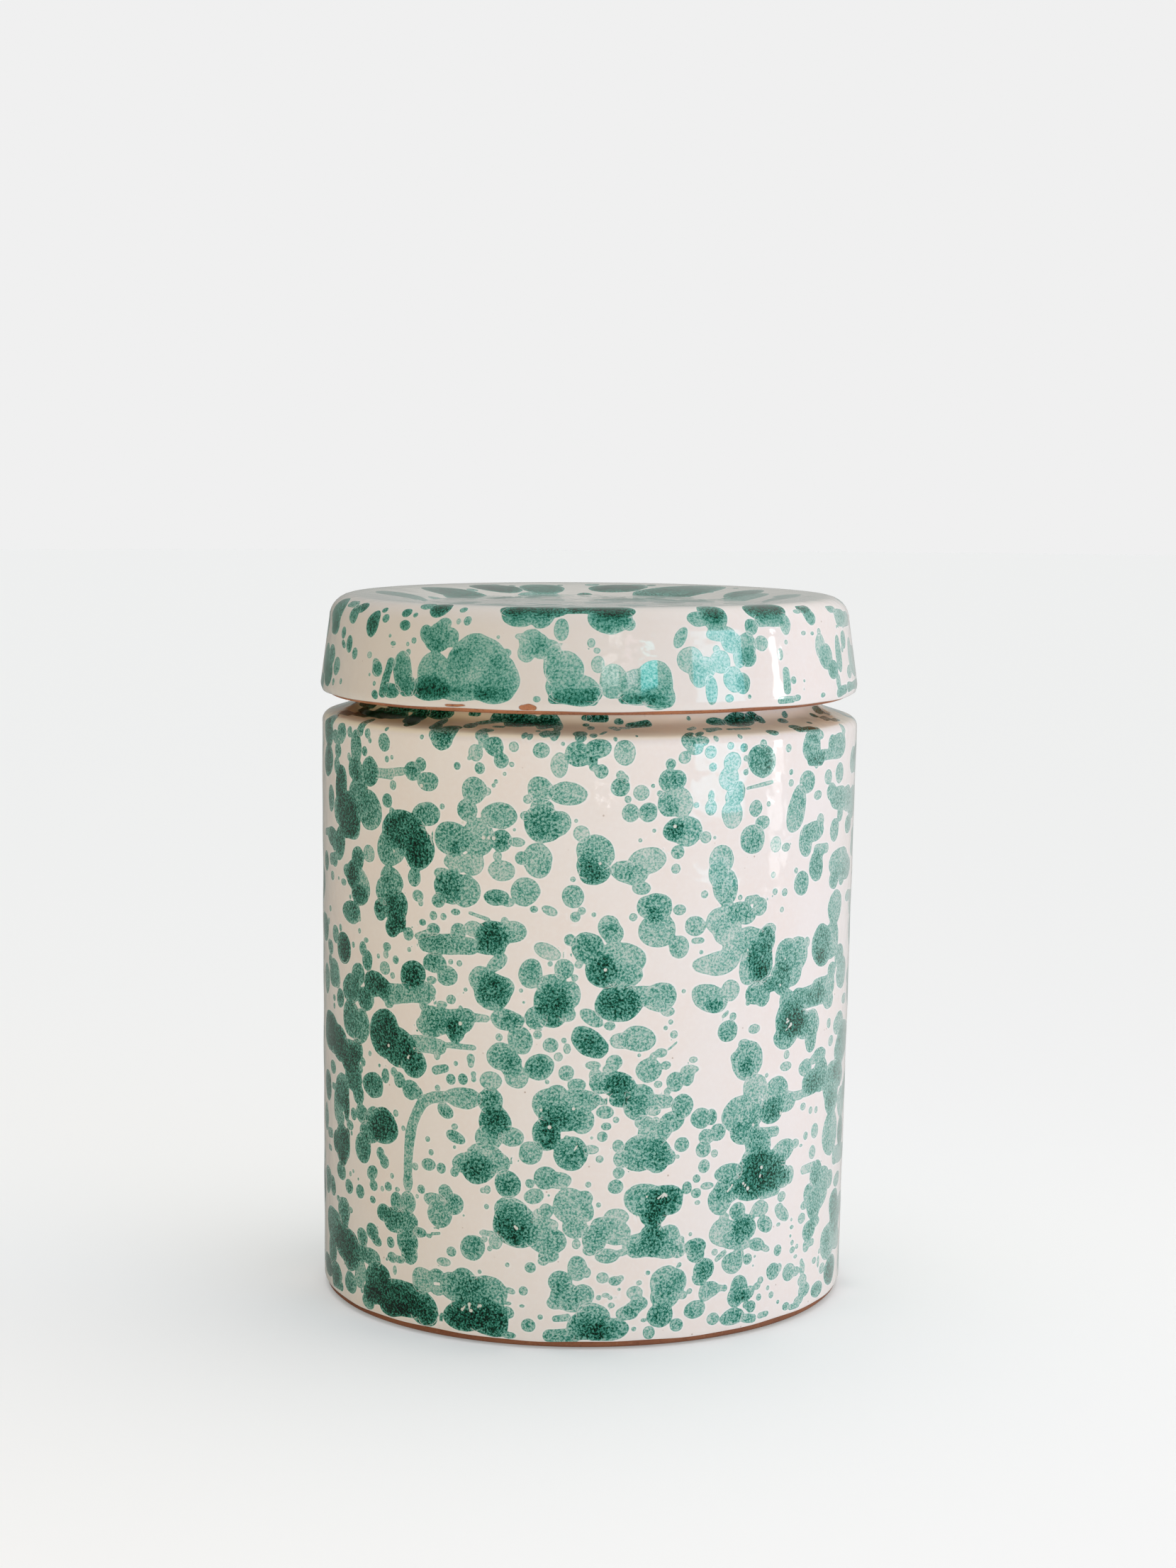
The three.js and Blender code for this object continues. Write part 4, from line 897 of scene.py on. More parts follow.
class Splash:
    """A drop of glaze: its middle, half its width and height, how it leans, and how much it holds."""

    def __init__(self, along, up, across, rise=None, lean=0, tone=1.0):
        self.along = along
        self.up = up
        self.across = across
        self.rise = across if rise is None else rise
        self.lean = math.radians(lean)
        self.tone = tone

    def size(self):
        """The radius that the drop is scaled to. A slim drop keeps its real half width."""
        least = min(self.across, self.rise)
        if self.slim():
            return least
        return math.sqrt(least * math.sqrt(self.across * self.rise))

    def slim(self):
        return max(self.across, self.rise) > SLIM * min(self.across, self.rise)

    def bulk(self):
        """A radius for how much room the drop takes up."""
        return (math.sqrt(self.across * self.rise) + max(self.across, self.rise)) / 2

    def from_middle(self, along, up):
        """Where points lie in the drop's own directions, scaled so that its edge is round."""
        c, s = math.cos(self.lean), math.sin(self.lean)
        u = along * c + up * s
        v = up * c - along * s
        if self.slim():
            spare = self.across - self.rise
            u = u - np.clip(u, -max(spare, 0), max(spare, 0))
            v = v - np.clip(v, -max(-spare, 0), max(-spare, 0))
            return u, v
        return u * self.size() / self.across, v * self.size() / self.rise


class Trail(Splash):
    """A run of glaze along a line of points, each as along and up."""

    def __init__(self, points, width, tone):
        self.points = np.array(points, float)
        low, high = self.points.min(0), self.points.max(0)
        middle = (low + high) / 2
        half = (high - low) / 2 + width
        super().__init__(middle[0], middle[1], half[0], half[1], tone=tone)
        self.width = width

    def size(self):
        return self.width

    def from_middle(self, along, up):
        nearest = np.full(along.shape, NO_SPLASH)
        points = self.points - (self.along, self.up)
        for start, end in zip(points[:-1], points[1:]):
            run = end - start
            share = ((along - start[0]) * run[0] + (up - start[1]) * run[1]) / (run @ run)
            share = np.clip(share, 0, 1)
            away = np.hypot(along - start[0] - share * run[0], up - start[1] - share * run[1])
            nearest = np.minimum(nearest, away)
        return nearest, np.zeros(along.shape)


def length_up(height, begin, size):
    """A height on a wall that turns in over a round, as a length up the wall and along the round."""
    if height <= begin:
        return height
    return begin + size * math.asin(min(1, (height - begin) / size))


def splashes(table):
    return [Splash(*row, tone=TONES[tone]) for tone, rows in table.items() for row in rows]


def lid_splashes(table):
    """The lid's drops, their heights over the edge's round turned into lengths along it."""
    drops = splashes(table)
    for drop in drops:
        low = length_up(drop.up - drop.rise, LID_SHOULDER, LID_EDGE_ROUND)
        high = length_up(drop.up + drop.rise, LID_SHOULDER, LID_EDGE_ROUND)
        drop.up = (low + high) / 2
        drop.rise = (high - low) / 2
    return drops


def round_the_back(drops, first, width, low, high, rng):
    """The side that the photograph does not show: the front's drops again, upside down and disturbed.

    Drops above the higher of the two heights stay there, because those on a shoulder are flat ovals.
    """
    found = []
    for lap in (1, 2):
        for drop in drops:
            along = drop.along + lap * width
            if first <= drop.along and along < first + ROUND:
                grow = rng.uniform(*BACK_GROWTH)
                copy = Splash(along + rng.normal(0, 1), drop.up, drop.across * grow, drop.rise * grow)
                if drop.up < high:
                    copy.up = low + high - drop.up + rng.normal(0, 1)
                copy.lean = drop.lean + math.radians(rng.uniform(-BACK_TURN, BACK_TURN))
                copy.tone = drop.tone
                found.append(copy)
    return found


def into_sheets(drops, place, count):
    """Shares drops out over the sheets, the largest first. A drop that fits into none is left out."""
    sheets = [[] for _ in range(count)]
    middles = [np.zeros((0, 3)) for _ in range(count)]
    bulks = [np.zeros(0) for _ in range(count)]
    for drop in sorted(drops, key=lambda d: -d.bulk()):
        middle = place(drop)
        gaps = []
        for i in range(count):
            away = np.linalg.norm(middles[i] - middle, axis=1) - bulks[i] - drop.bulk()
            gaps.append(float(away.min()) if len(away) else math.inf)
        fitting = [i for i in range(count) if gaps[i] > SHEET_GAP]
        chosen = fitting[0] if fitting else int(np.argmax(gaps))
        if not fitting and gaps[chosen] < LEAST_GAP:
            continue
        sheets[chosen].append(drop)
        middles[chosen] = np.vstack([middles[chosen], middle])
        bulks[chosen] = np.append(bulks[chosen], drop.bulk())
    return sheets


def on_wall(drop):
    """Where a drop on a wall lies, near enough, in mm."""
    turn = drop.along / ALONG_RADIUS
    return np.array((ALONG_RADIUS * math.sin(turn), -ALONG_RADIUS * math.cos(turn), drop.up))


class Sheet:
    """What a material needs to know of some drops at each point: the way from the nearest one's middle,
    then how far its edge is, its tone and its size."""

    def __init__(self, turned, name):
        self.turned = turned
        self.name = name
        self.way = np.zeros(turned.places.shape)
        self.facts = np.zeros(turned.places.shape)
        self.facts[..., 0] = NO_SPLASH
        self.facts[..., 2] = 1.0

    def add(self, drop, rings, columns, along, up):
        """Writes a drop in wherever it is nearer than those already there."""
        block = np.ix_(rings, columns)
        u, v = drop.from_middle(along, up)
        distance = np.hypot(u, v) - drop.size()
        nearer = (distance < self.facts[..., 0][block]) & (distance < FADE)
        for sheet, values in ((self.way, (u, v)), (self.facts, (distance, drop.tone, drop.size()))):
            for k, value in enumerate(values):
                layer = sheet[..., k]
                layer[block] = np.where(nearer, value, layer[block])

    def add_to_wall(self, drops, up):
        for drop in drops:
            aside = (ALONG_RADIUS * self.turned.turn - drop.along + ROUND / 2) % ROUND - ROUND / 2
            reach = max(drop.across, drop.rise) + FADE
            columns = np.flatnonzero(np.abs(aside) < reach)
            rings = np.flatnonzero(np.abs(up - drop.up) < reach)
            self.add(drop, rings, columns, *np.meshgrid(aside[columns], up[rings] - drop.up))

    def add_to_top(self, drops, rings):
        columns = np.arange(self.turned.columns)
        block = np.ix_(rings, columns)
        right, back = self.turned.places[..., 0][block], self.turned.places[..., 1][block]
        for drop in drops:
            self.add(drop, rings, columns, right - drop.along, back - drop.up)

    def store(self):
        self.turned.store(self.name + "_way", self.way)
        self.turned.store(self.name + "_facts", self.facts)


def lifted_jar_edge(radius, height, turn):
    """The jar's glaze stops at an uneven height above the foot."""
    lift = 0.45 - 0.3 * np.cos(turn * 1.5) + waves(turn, JAR_GLAZE_WAVES)
    near = np.clip(1 - (height - JAR_GLAZE_FOOT) / 6, 0, 1) * (radius > NECK_RADIUS)
    return radius, height + lift * near


def lifted_lid_edge(radius, height, turn):
    """The lid's glaze stops at an uneven height round the curve of the rim."""
    middle = LID_RADIUS - LID_RIM_ROUND
    centre = LID_RIM + LID_RIM_ROUND - COAT
    size = np.hypot(radius - middle, height - centre)
    angle = np.arctan2(height - centre, radius - middle)
    share = 0.9 + waves(turn, LID_GLAZE_WAVES)
    on_round = (height < centre) & (radius > middle)
    angle = np.where(on_round, angle * share, angle)
    return (
        np.where(on_round, middle + size * np.cos(angle), radius),
        np.where(on_round, centre + size * np.sin(angle), height),
    )


def rounded_edge(line):
    """A coat's line with its first point replaced by a small bead, so that the glaze ends in a lip."""
    first = line[0]
    ahead = line[1] - first
    ahead = ahead / np.linalg.norm(ahead)
    inward = np.array((-ahead[1], ahead[0]))
    bead = [
        first + inward * LIP,
        first + inward * LIP * 0.3 + ahead * 0.12,
        first + ahead * LIP,
    ]
    return bead + line[1:]


def jar_clay():
    """The fired clay of the jar. It shows only at the foot and underneath."""
    profile = joined(jar_foot(2.5), jar_outside(COAT, COARSE_STEP), jar_inside(COAT, COARSE_STEP))
    clay = Turned("jar_clay", profile, thrown_jar, columns=COARSE_COLUMNS)
    # the jar's clay is drawn darker than the lid's
    finish(clay.piece, "jar", "jar_body", bare_clay("darkened_jar_clay", darkened=0.6))


def jar_glaze_coat():
    """The jar's coat of glaze, splashed outside and plain inside."""
    surface = joined(rounded_edge(jar_outside(0, FINE_STEP)), jar_inside(0, INSIDE_STEP))
    bed = joined(jar_outside(BED, COARSE_STEP), jar_inside(BED, COARSE_STEP))
    coat = joined(surface, bed[::-1])
    glaze = Turned("jar_glaze_coat", coat, thrown_jar, closed=True, edge=lifted_jar_edge)
    up = glaze.lengths_up(SHOULDER)
    rng = np.random.default_rng(JAR_SEED)
    front = splashes(JAR_SPLASHES)
    back = round_the_back(front, *JAR_BACK, rng)
    front.append(Trail(CURLED_RUN, CURLED_RUN_WIDTH, TONES["soft"]))
    names = []
    for number, drops in enumerate(into_sheets(front + back, on_wall, SHEETS)):
        sheet = Sheet(glaze, f"splashes_{number}")
        sheet.add_to_wall(drops, up)
        sheet.store()
        names.append(sheet.name)
    flaws = Sheet(glaze, "flaws")
    flaws.add_to_wall(jar_flaws(rng), up)
    flaws.store()
    material = splashed_glaze("splashed_jar_glaze", names, "flaws", JAR_POOLS, JAR_GRAIN)
    finish(glaze.piece, "jar", "jar_glaze", material)


def jar_flaws(rng):
    """Pinholes where the glaze stayed open, and thin pale lines where it parted."""
    found = [Splash(along, up, rng.uniform(*PINHOLE_SIZES), tone=1) for along, up in PINHOLES]
    for along, up in PINHOLES:
        back_up = (up + PINHOLES_UP) % 140 + 5
        found.append(Splash(wrapped(along + PINHOLES_ON), back_up, rng.uniform(*PINHOLE_SIZES), tone=1))
    found += [Trail(line, width, PARTING_TONE) for width, line in JAR_PARTINGS]
    return found


def wrapped(along):
    """The same place round the wall, written as less than half way round from the front."""
    return (along + ROUND / 2) % ROUND - ROUND / 2


def lid_clay():
    """The fired clay of the lid. It shows only at the rim that stands on the jar."""
    profile = joined(lid_inside(COAT, COARSE_STEP)[:-1], lid_rim(1.2), lid_outside(COAT, COARSE_STEP))
    clay = Turned("lid_clay", profile, thrown_lid, columns=COARSE_COLUMNS)
    finish(clay.piece, "lid", "lid_body", bare_clay("fired_lid_clay"))


def lid_glaze_coat():
    """The lid's coat of splashed glaze, over its side, edge and dished top."""
    surface = rounded_edge(lid_outside(0, FINE_STEP))
    coat = joined(surface, lid_outside(BED, COARSE_STEP)[::-1])
    glaze = Turned("lid_glaze_coat", coat, thrown_lid, closed=True, edge=lifted_lid_edge)
    up = glaze.lengths_up(LID_SHOULDER)
    top_begins = length_up(CREST, LID_SHOULDER, LID_EDGE_ROUND) + 2.5
    top_rings = np.flatnonzero((up > top_begins) & (up < top_begins + CREST_RADIUS - 1.5))
    rng = np.random.default_rng(LID_SEED)
    front = lid_splashes(LID_SPLASHES)
    back = round_the_back(front, *LID_BACK, rng)
    walls = into_sheets(front + back, on_wall, SHEETS)
    tops = into_sheets(top_splashes(rng), on_top, SHEETS)
    names = []
    for number in range(SHEETS):
        sheet = Sheet(glaze, f"splashes_{number}")
        sheet.add_to_wall(walls[number], up)
        sheet.add_to_top(tops[number], top_rings)
        sheet.store()
        names.append(sheet.name)
    flaws = Sheet(glaze, "flaws")
    flaws.add_to_wall([Trail(line, width, PARTING_TONE) for width, line in LID_PARTINGS], up)
    flaws.store()
    skips = Sheet(glaze, "skips")
    skips.add_to_wall([Splash(*row) for row in LID_SKIPS], up)
    skips.store()
    material = splashed_glaze("splashed_lid_glaze", names, "flaws", LID_POOLS, LID_GRAIN, "skips")
    finish(glaze.piece, "lid", "lid_glaze", material)


def on_top(drop):
    return np.array((drop.along, drop.up, CREST))


def top_splashes(rng):
    """Drops on the lid's top: large ones listed, then small ones at random, as dense as on the side."""
    found = splashes(LID_TOP_SPLASHES)
    tones = list(TONES.values())
    for _ in range(TOP_DROPS):
        across = TOP_DROP_LEAST + TOP_DROP_SPREAD * rng.uniform(0, 1) ** 2.2
        away = (TOP_REACH - across) * math.sqrt(rng.uniform(0, 1))
        turn = rng.uniform(0, 2 * math.pi)
        rise = across * rng.uniform(0.7, 1.1)
        drop = Splash(away * math.sin(turn), away * math.cos(turn), across, rise)
        drop.lean = rng.uniform(0, math.pi)
        drop.tone = tones[int(rng.integers(0, len(tones)))]
        found.append(drop)
    return found


def lid_hollow_glaze():
    """The plain glaze inside the lid."""
    profile = joined(lid_inside(0, FINE_STEP * 2), lid_inside(BED, COARSE_STEP)[::-1])
    glaze = Turned("lid_hollow_glaze", profile, thrown_lid, closed=True, columns=COARSE_COLUMNS)
    finish(glaze.piece, "lid", "lid_inside_glaze", plain_glaze("plain_cream_glaze"))


def finish(piece, body, node, material):
    """Gives a piece its material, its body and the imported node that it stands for."""
    piece.data.materials.append(material)
    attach(piece, body)
    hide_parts(node)


class Field:
    """A value that changes over a surface. Python's operators on it add the nodes that work it out."""

    def __init__(self, recipe, node, output=0):
        self.recipe = recipe
        self.node = node
        self.place = output

    def socket(self):
        return self.node.outputs[self.place]

    def output(self, output):
        return Field(self.recipe, self.node, output)

    def maths(self, operation, *values):
        return self.recipe.node("ShaderNodeMath", {"operation": operation}, dict(enumerate(values)))

    def __add__(self, other):
        return self.maths("ADD", self, other)

    __radd__ = __add__

    def __sub__(self, other):
        return self.maths("SUBTRACT", self, other)

    def __rsub__(self, other):
        return self.maths("SUBTRACT", other, self)

    def __mul__(self, other):
        return self.maths("MULTIPLY", self, other)

    __rmul__ = __mul__

    def __truediv__(self, other):
        return self.maths("DIVIDE", self, other)

    def __pow__(self, other):
        return self.maths("POWER", self, other)

    def __rpow__(self, other):
        return self.maths("POWER", other, self)

    def largest(self, other):
        return self.maths("MAXIMUM", self, other)

    def smallest(self, other):
        return self.maths("MINIMUM", self, other)

    def joined_to(self, other, distance):
        """The smaller of two values, eased over a distance where they are near each other."""
        return self.maths("SMOOTH_MIN", self, other, distance)

    def eased(self, begin, end):
        """0 at begin and 1 at end, with no corners."""
        settings = {"interpolation_type": "SMOOTHSTEP"}
        return self.recipe.node("ShaderNodeMapRange", settings, {0: self, 1: begin, 2: end, 3: 0, 4: 1})

    def vector_maths(self, operation, *values, output=0):
        inputs = dict(enumerate((self,) + values))
        return self.recipe.node("ShaderNodeVectorMath", {"operation": operation}, inputs, output)

    def length(self):
        return self.vector_maths("LENGTH", output="Value")

    def parts(self):
        separated = self.recipe.node("ShaderNodeSeparateXYZ", {}, {0: self})
        return [separated.output(i) for i in range(3)]


class Recipe:
    """A material, or the world's light, and the nodes that make it."""

    def __init__(self, owner):
        owner.use_nodes = True
        self.owner = owner
        self.nodes = owner.node_tree.nodes
        self.links = owner.node_tree.links
        self.nodes.clear()

    def node(self, kind, settings, inputs, output=0):
        """Adds a node. Its settings come first, then a value or a link for each of its sockets."""
        made = self.nodes.new(kind)
        for name, value in settings.items():
            setattr(made, name, value)
        for name, value in inputs.items():
            if isinstance(value, Field):
                self.links.new(value.socket(), made.inputs[name])
            else:
                made.inputs[name].default_value = value
        return Field(self, made, output)

    def place(self):
        return self.node("ShaderNodeTexCoord", {}, {}, "Object")

    def noise(self, scale, detail=2.0, roughness=0.5, stretch=None):
        """Cloudy noise from 0 to 1, with scale lumps to the metre."""
        place = self.place()
        if stretch:
            place = place.vector_maths("MULTIPLY", stretch)
        inputs = {"Vector": place, "Scale": scale, "Detail": detail, "Roughness": roughness}
        return self.node("ShaderNodeTexNoise", {}, inputs)

    def grains(self, scale, feature="F1"):
        """The distance from the nearest of scattered points, scale of them to the metre."""
        inputs = {"Vector": self.place(), "Scale": scale}
        return self.node("ShaderNodeTexVoronoi", {"feature": feature}, inputs)

    def mix(self, factor, start, end):
        """From one colour to another as the factor goes from 0 to 1."""
        return self.node("ShaderNodeMix", {"data_type": "RGBA"}, {0: factor, 6: start, 7: end}, 2)

    def colour(self, red, green, blue):
        return self.node("ShaderNodeCombineColor", {}, {0: red, 1: green, 2: blue})

    def read(self, name):
        return self.node("ShaderNodeAttribute", {"attribute_name": name}, {}, "Vector")

    def surface(self, colour, roughness, height, **others):
        """The shader of a fired surface. Height is in mm."""
        bump = self.node("ShaderNodeBump", {}, {"Strength": 1.0, "Distance": MM, "Height": height})
        inputs = {"Base Color": colour, "Roughness": roughness, "Normal": bump}
        inputs.update({name.replace("_", " "): value for name, value in others.items()})
        shader = self.node("ShaderNodeBsdfPrincipled", {}, inputs)
        self.node("ShaderNodeOutputMaterial", {}, {"Surface": shader})
        return self.owner


def new_recipe(name):
    return Recipe(bpy.data.materials.new(name))


def outside_drops(recipe, sheet, wobble=0):
    """How far a point is outside a sheet's drops in mm, and their tone. Large drops wobble more."""
    distance, tone, size = recipe.read(sheet + "_facts").parts()
    outside = recipe.read(sheet + "_way").length() - size
    return outside.largest(distance - 0.5) + (size / WOBBLY_SIZE).smallest(1) * wobble, tone


def cream(recipe):
    """The cream glaze: pale, a little warmer in clouds, with a few specks of iron and faint grains."""
    clouds = recipe.noise(CREAM_CLOUDS, 3).eased(0.3, 0.7)
    grains = recipe.noise(CREAM_GRAINS, 2).eased(0.35, 0.75)
    speckled = recipe.noise(SPECKLED_PATCHES, 1).eased(0.52, 0.6)
    specks = recipe.grains(IRON_SPECKS).eased(0.075, 0.05) * speckled
    pale = recipe.mix(clouds, CREAM_COOL, CREAM_WARM)
    grained = recipe.mix(grains * 0.35, pale, CREAM_GRAIN)
    return recipe.mix(specks * 0.5, grained, IRON_SPECK)


def drops_together(recipe, sheets):
    """How far a point is outside all drops, how much green lies there, and rings round the drops."""
    long_waves = recipe.noise(LONG_WAVES, 0) - 0.5
    short_waves = recipe.noise(SHORT_WAVES, 1) - 0.5
    wobble = long_waves * LONG_WOBBLE + short_waves * SHORT_WOBBLE
    edge, strength, rings = None, None, None
    for sheet in sheets:
        outside, tone = outside_drops(recipe, sheet, wobble)
        thin = tone.smallest(THIN_TONE)
        reach = (thin * outside.eased(*THIN_EDGE) + (tone - thin) * outside.eased(*THICK_EDGE)) ** 3
        ring = outside.eased(*RING_BEGINS) * outside.eased(*RING_ENDS)
        edge = outside if edge is None else edge.joined_to(outside, MEETING)
        strength = reach if strength is None else strength + reach
        rings = ring if rings is None else rings.largest(ring)
    return edge, (strength ** (1 / 3)).largest(LEAST_TONE), rings


def green(recipe, depth, edge, mottle, grain_depth, deeper):
    """The colour of the green, which takes more of the light the deeper it is."""
    spots = recipe.grains(SPOTS).eased(0.3, 0.12)
    clouds = recipe.noise(160, 2)
    outline = edge.eased(*OUTLINE_BEGINS) * edge.eased(*OUTLINE_ENDS)
    grain = 1 + grain_depth * (2.1 * mottle ** 1.6 - 0.6) + 0.5 * spots
    depth = depth * grain * (0.3 + 1.4 * clouds) * deeper + OUTLINE * outline
    channels = [paint * math.exp(-taken) ** depth for paint, taken in zip(GREEN_PAINT, GREEN_TAKES)]
    return recipe.colour(*channels)


def cream_of_lid(recipe, body, right, back):
    """The lid's cream with painted shade: a little greyer on the left, away from the light, and on the
    top.
    """
    away = (right * right + back * back) ** 0.5
    body = recipe.mix(right.eased(*LID_PAINTED_SHADE_LEFT) * 0.5, body, CREAM_LID_PAINTED_SHADE)
    return recipe.mix(away.eased(CREST_RADIUS + 3, CREST_RADIUS - 2), body, CREAM_TOP_PAINTED_SHADE)


def cream_of_jar(recipe, body, up):
    """The jar's cream: yellower and paler on the slope under the lid, partly pooled glaze and partly
    painted light for the gap.
    """
    pooled_and_painted_light = up.eased(*GAP_FULL) * up.eased(*GAP_ENDS)
    return recipe.mix(pooled_and_painted_light * 0.95, body, CREAM_POOLED_AND_PAINTED_LIGHT)


def splashed_glaze(name, sheets, flaws, pools, grain_depth, skips=None):
    """Cream glaze splashed with copper green. The more green lies over a point, the darker it is."""
    recipe = new_recipe(name)
    right, back, up = [part / MM for part in recipe.place().parts()]
    edge, depth, rings = drops_together(recipe, sheets)
    cover = edge.eased(*COVER_EDGE)
    halo = edge.eased(*HALO_EDGE) * (1 - cover)
    mottle = recipe.noise(GRAINS, 3, 0.7).eased(0.33, 0.7)
    # painted shade: the green deepens towards the left, the side away from the light
    deeper = 1 + LEFT_PAINTED_SHADE * right.eased(*LEFT_SHADE_RANGE)
    for begin, full, amount in pools:
        deeper = deeper + amount * up.eased(begin, full)
    body = recipe.mix(halo * HALO, cream(recipe), CREAM_PALE)
    body = cream_of_lid(recipe, body, right, back) if skips else cream_of_jar(recipe, body, up)
    colour = recipe.mix(cover, body, green(recipe, depth, edge, mottle, grain_depth, deeper))
    parting = rings * edge.eased(*RING_NEAR_EDGE) * recipe.noise(70, 0).eased(0.45, 0.55)
    colour = recipe.mix(parting * cover * RING, colour, CREAM_PALE)
    flaw, flaw_strength = outside_drops(recipe, flaws)
    flaw = flaw.eased(0.1, -0.1) * flaw_strength
    colour = recipe.mix(flaw, colour, PINHOLE)
    skin = recipe.noise(SMALL_LUMPS, 3) * SMALL_RISE + recipe.noise(LARGE_LUMPS, 1) * LARGE_RISE
    height = skin + cover * GREEN_RISE + mottle * cover * GRAIN_RISE - flaw * FLAW_DEPTH
    roughness = CREAM_ROUGHNESS + cover * GREEN_ROUGHER + mottle * cover * GRAIN_ROUGHER
    if skips:
        bare = outside_drops(recipe, skips)[0].eased(0.12, -0.12)
        colour = recipe.mix(bare, colour, clay_colour(recipe))
        roughness = roughness + bare * CLAY_ROUGHER
        height = height - bare * SKIP_DEPTH
    return recipe.surface(colour, roughness, height, Coat_Weight=cover * 0.85, Specular_IOR_Level=0.32)


def plain_glaze(name):
    """Cream glaze with no splashes."""
    recipe = new_recipe(name)
    skin = recipe.noise(SMALL_LUMPS, 3) * 0.012 + recipe.noise(60, 1) * 0.06
    roughness = 0.09 + recipe.noise(300, 1) * 0.04
    return recipe.surface(cream(recipe), roughness, skin, Specular_IOR_Level=0.5)


def clay_colour(recipe, darkened=0):
    """Fired earthenware: orange brown, paler and darker in patches, with pale and dark grit."""
    patches = recipe.noise(CLAY_PATCHES, 3).eased(0.3, 0.7)
    grit = recipe.noise(GRIT, 2)
    warm = recipe.mix(patches, CLAY_ORANGE, CLAY_BROWN)
    gritted = recipe.mix(grit.eased(0.58, 0.75) * 0.5, warm, CLAY_PALE)
    dark = grit.eased(0.42, 0.3) * 0.6
    return recipe.mix(dark + (1 - dark) * darkened, gritted, CLAY_DARK)


def bare_clay(name, darkened=0):
    """Unglazed clay with turning marks. The last argument is how far its colour is taken towards dark
    clay, from 0 to 1.
    """
    recipe = new_recipe(name)
    grit = recipe.noise(GRIT, 2)
    rings = recipe.noise(40, 2, stretch=(0.05, 0.05, 14))
    height = grit * 0.05 + rings * 0.08
    return recipe.surface(clay_colour(recipe, darkened), 0.72 + grit * 0.2, height, Specular_IOR_Level=0.3)


def studio_floor():
    """A plain pale floor that glows a little, wide enough that its edge is never seen."""
    turn = 2 * math.pi * np.arange(FLOOR_CORNERS) / FLOOR_CORNERS
    level = np.full(FLOOR_CORNERS, -FLOOR_SINKS)
    rim = np.stack([FLOOR_SIZE * np.sin(turn), -FLOOR_SIZE * np.cos(turn), level], 1)
    mesh = bpy.data.meshes.new("studio_floor")
    mesh.from_pydata(rim.tolist(), [], [list(range(FLOOR_CORNERS))])
    floor = bpy.data.objects.new("studio_floor", mesh)
    bpy.context.scene.collection.objects.link(floor)
    recipe = new_recipe("studio_paper")
    paper = recipe.node("ShaderNodeBsdfDiffuse", {}, {"Color": FLOOR_PALE})
    glow = recipe.node("ShaderNodeEmission", {}, {"Color": FLOOR_GLOW, "Strength": 1.0})
    shader = recipe.node("ShaderNodeAddShader", {}, {0: paper, 1: glow})
    recipe.node("ShaderNodeOutputMaterial", {}, {"Surface": shader})
    mesh.materials.append(recipe.owner)
    floor.visible_glossy = False


def studio_world():
    """Soft lights all round, most of them overhead and on the right, behind a plain pale backdrop."""
    world = bpy.data.worlds.new("studio_light")
    bpy.context.scene.world = world
    recipe = Recipe(world)
    direction = recipe.node("ShaderNodeTexCoord", {}, {}, "Generated")
    rays = recipe.node("ShaderNodeLightPath", {}, {}, "Is Camera Ray")
    glossy = rays.output("Is Glossy Ray")
    channels = [0, 0, 0]
    for turn, rise, light_colour in SOFT_LIGHTS:
        lobe = soft_light(direction, math.radians(turn), math.radians(rise))
        channels = [channel + lobe * part for channel, part in zip(channels, light_colour)]
    right, back, _ = direction.parts()
    behind = recipe.mix(right.eased(-0.5, 0.5), ROOM_BACK_LEFT, ROOM_BACK_RIGHT)
    seen = recipe.mix(back.eased(-0.35, 0.45), ROOM_BEHIND_CAMERA, behind)
    colour = recipe.mix(glossy, recipe.colour(*channels), seen)
    colour = recipe.mix(rays, colour, BACKDROP)
    shader = recipe.node("ShaderNodeBackground", {}, {"Color": colour, "Strength": 1.0})
    recipe.node("ShaderNodeOutputWorld", {}, {"Surface": shader})


def soft_light(direction, turn, rise):
    """A light that is 1 at its middle and fades all round. Turn goes to the right from the camera."""
    middle = (math.sin(turn) * math.cos(rise), -math.cos(turn) * math.cos(rise), math.sin(rise))
    near = direction.vector_maths("DOT_PRODUCT", middle, output="Value")
    return math.e ** ((near - 1) * LIGHT_SHARPNESS)


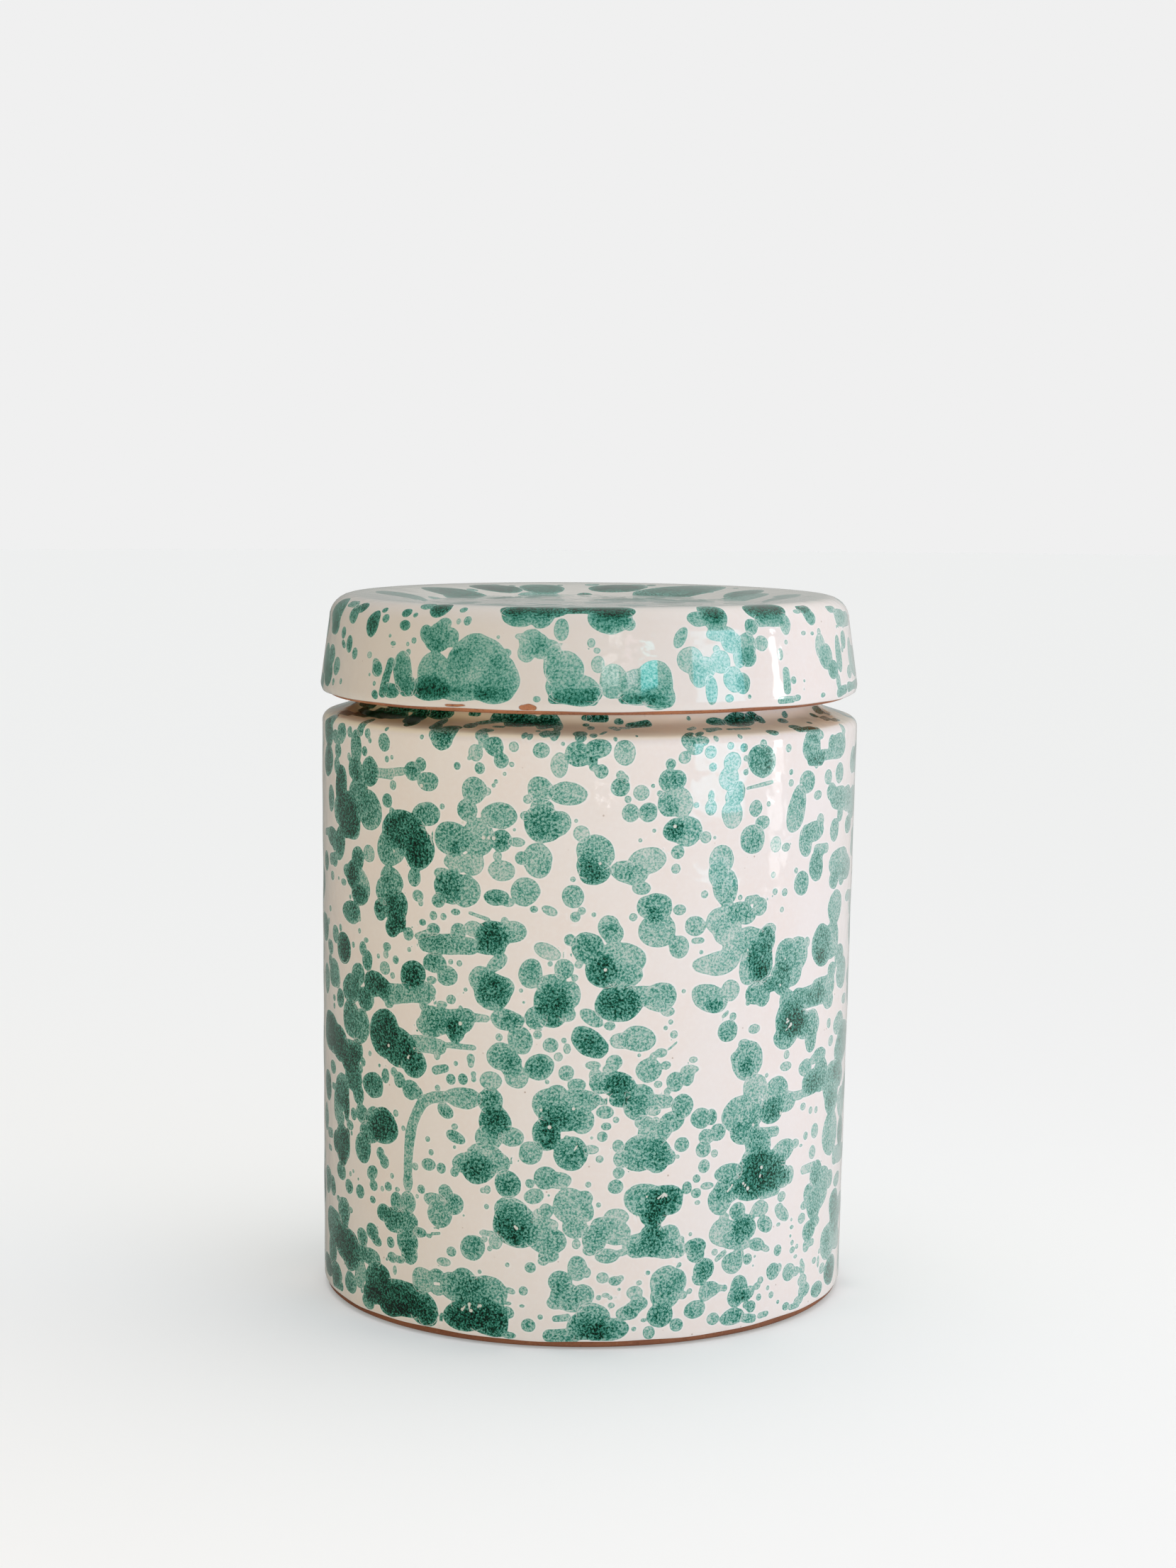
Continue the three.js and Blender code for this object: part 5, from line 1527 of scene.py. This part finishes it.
def panel(name, turn, away, width, low, high, light_colour):
    """An upright sheet of light that faces the jar and that the camera does not see."""
    brightest = max(light_colour)
    light = bpy.data.lights.new(name, "AREA")
    light.shape = "RECTANGLE"
    light.size = width
    light.size_y = high - low
    light.energy = brightest * math.pi * width * (high - low)
    light.color = [part / brightest for part in light_colour]
    lamp = bpy.data.objects.new(name, light)
    turn = math.radians(turn)
    lamp.location = (away * math.sin(turn), -away * math.cos(turn), (low + high) / 2)
    lamp.rotation_euler = (math.radians(90), 0, turn)
    bpy.context.scene.collection.objects.link(lamp)
    lamp.visible_camera = False
    return lamp


def low_panels():
    """Panels that light the jar and are not reflected in it."""
    for number, (turn, light_colour) in enumerate(LOW_PANELS):
        name = f"low_panel_{number}"
        lamp = panel(name, turn, PANEL_AWAY, PANEL_WIDTH, PANEL_LOW, PANEL_HIGH, light_colour)
        lamp.visible_glossy = False


def reflected_panes():
    """Windows of the room, which show only as reflections in the glaze."""
    for name, (begin, end, low, high, light_colour) in REFLECTED_PANES.items():
        width = 2 * PANE_AWAY * math.tan(math.radians(end - begin) / 2)
        lamp = panel(name, (begin + end) / 2, PANE_AWAY, width, low, high, light_colour)
        lamp.visible_diffuse = False


def camera():
    """The photograph's view: a little above the lid and tilted down."""
    lens = bpy.data.cameras.new("camera")
    lens.sensor_width = SENSOR
    lens.lens = FOCAL_PIXELS / PHOTO_HEIGHT * SENSOR
    lens.clip_start = 0.01
    eye = bpy.data.objects.new("camera", lens)
    pitch = Matrix.Rotation(math.radians(90 - CAMERA_PITCH), 4, "X")
    roll = Matrix.Rotation(math.radians(CAMERA_ROLL), 4, "Z")
    eye.matrix_world = Matrix.Translation([place * MM for place in CAMERA_PLACE]) @ pitch @ roll
    bpy.context.scene.collection.objects.link(eye)
    bpy.context.scene.camera = eye


bpy.context.scene.view_settings.view_transform = "Standard"
camera()
studio_floor()
studio_world()
low_panels()
reflected_panes()
jar_clay()
jar_glaze_coat()
lid_clay()
lid_glaze_coat()
lid_hollow_glaze()
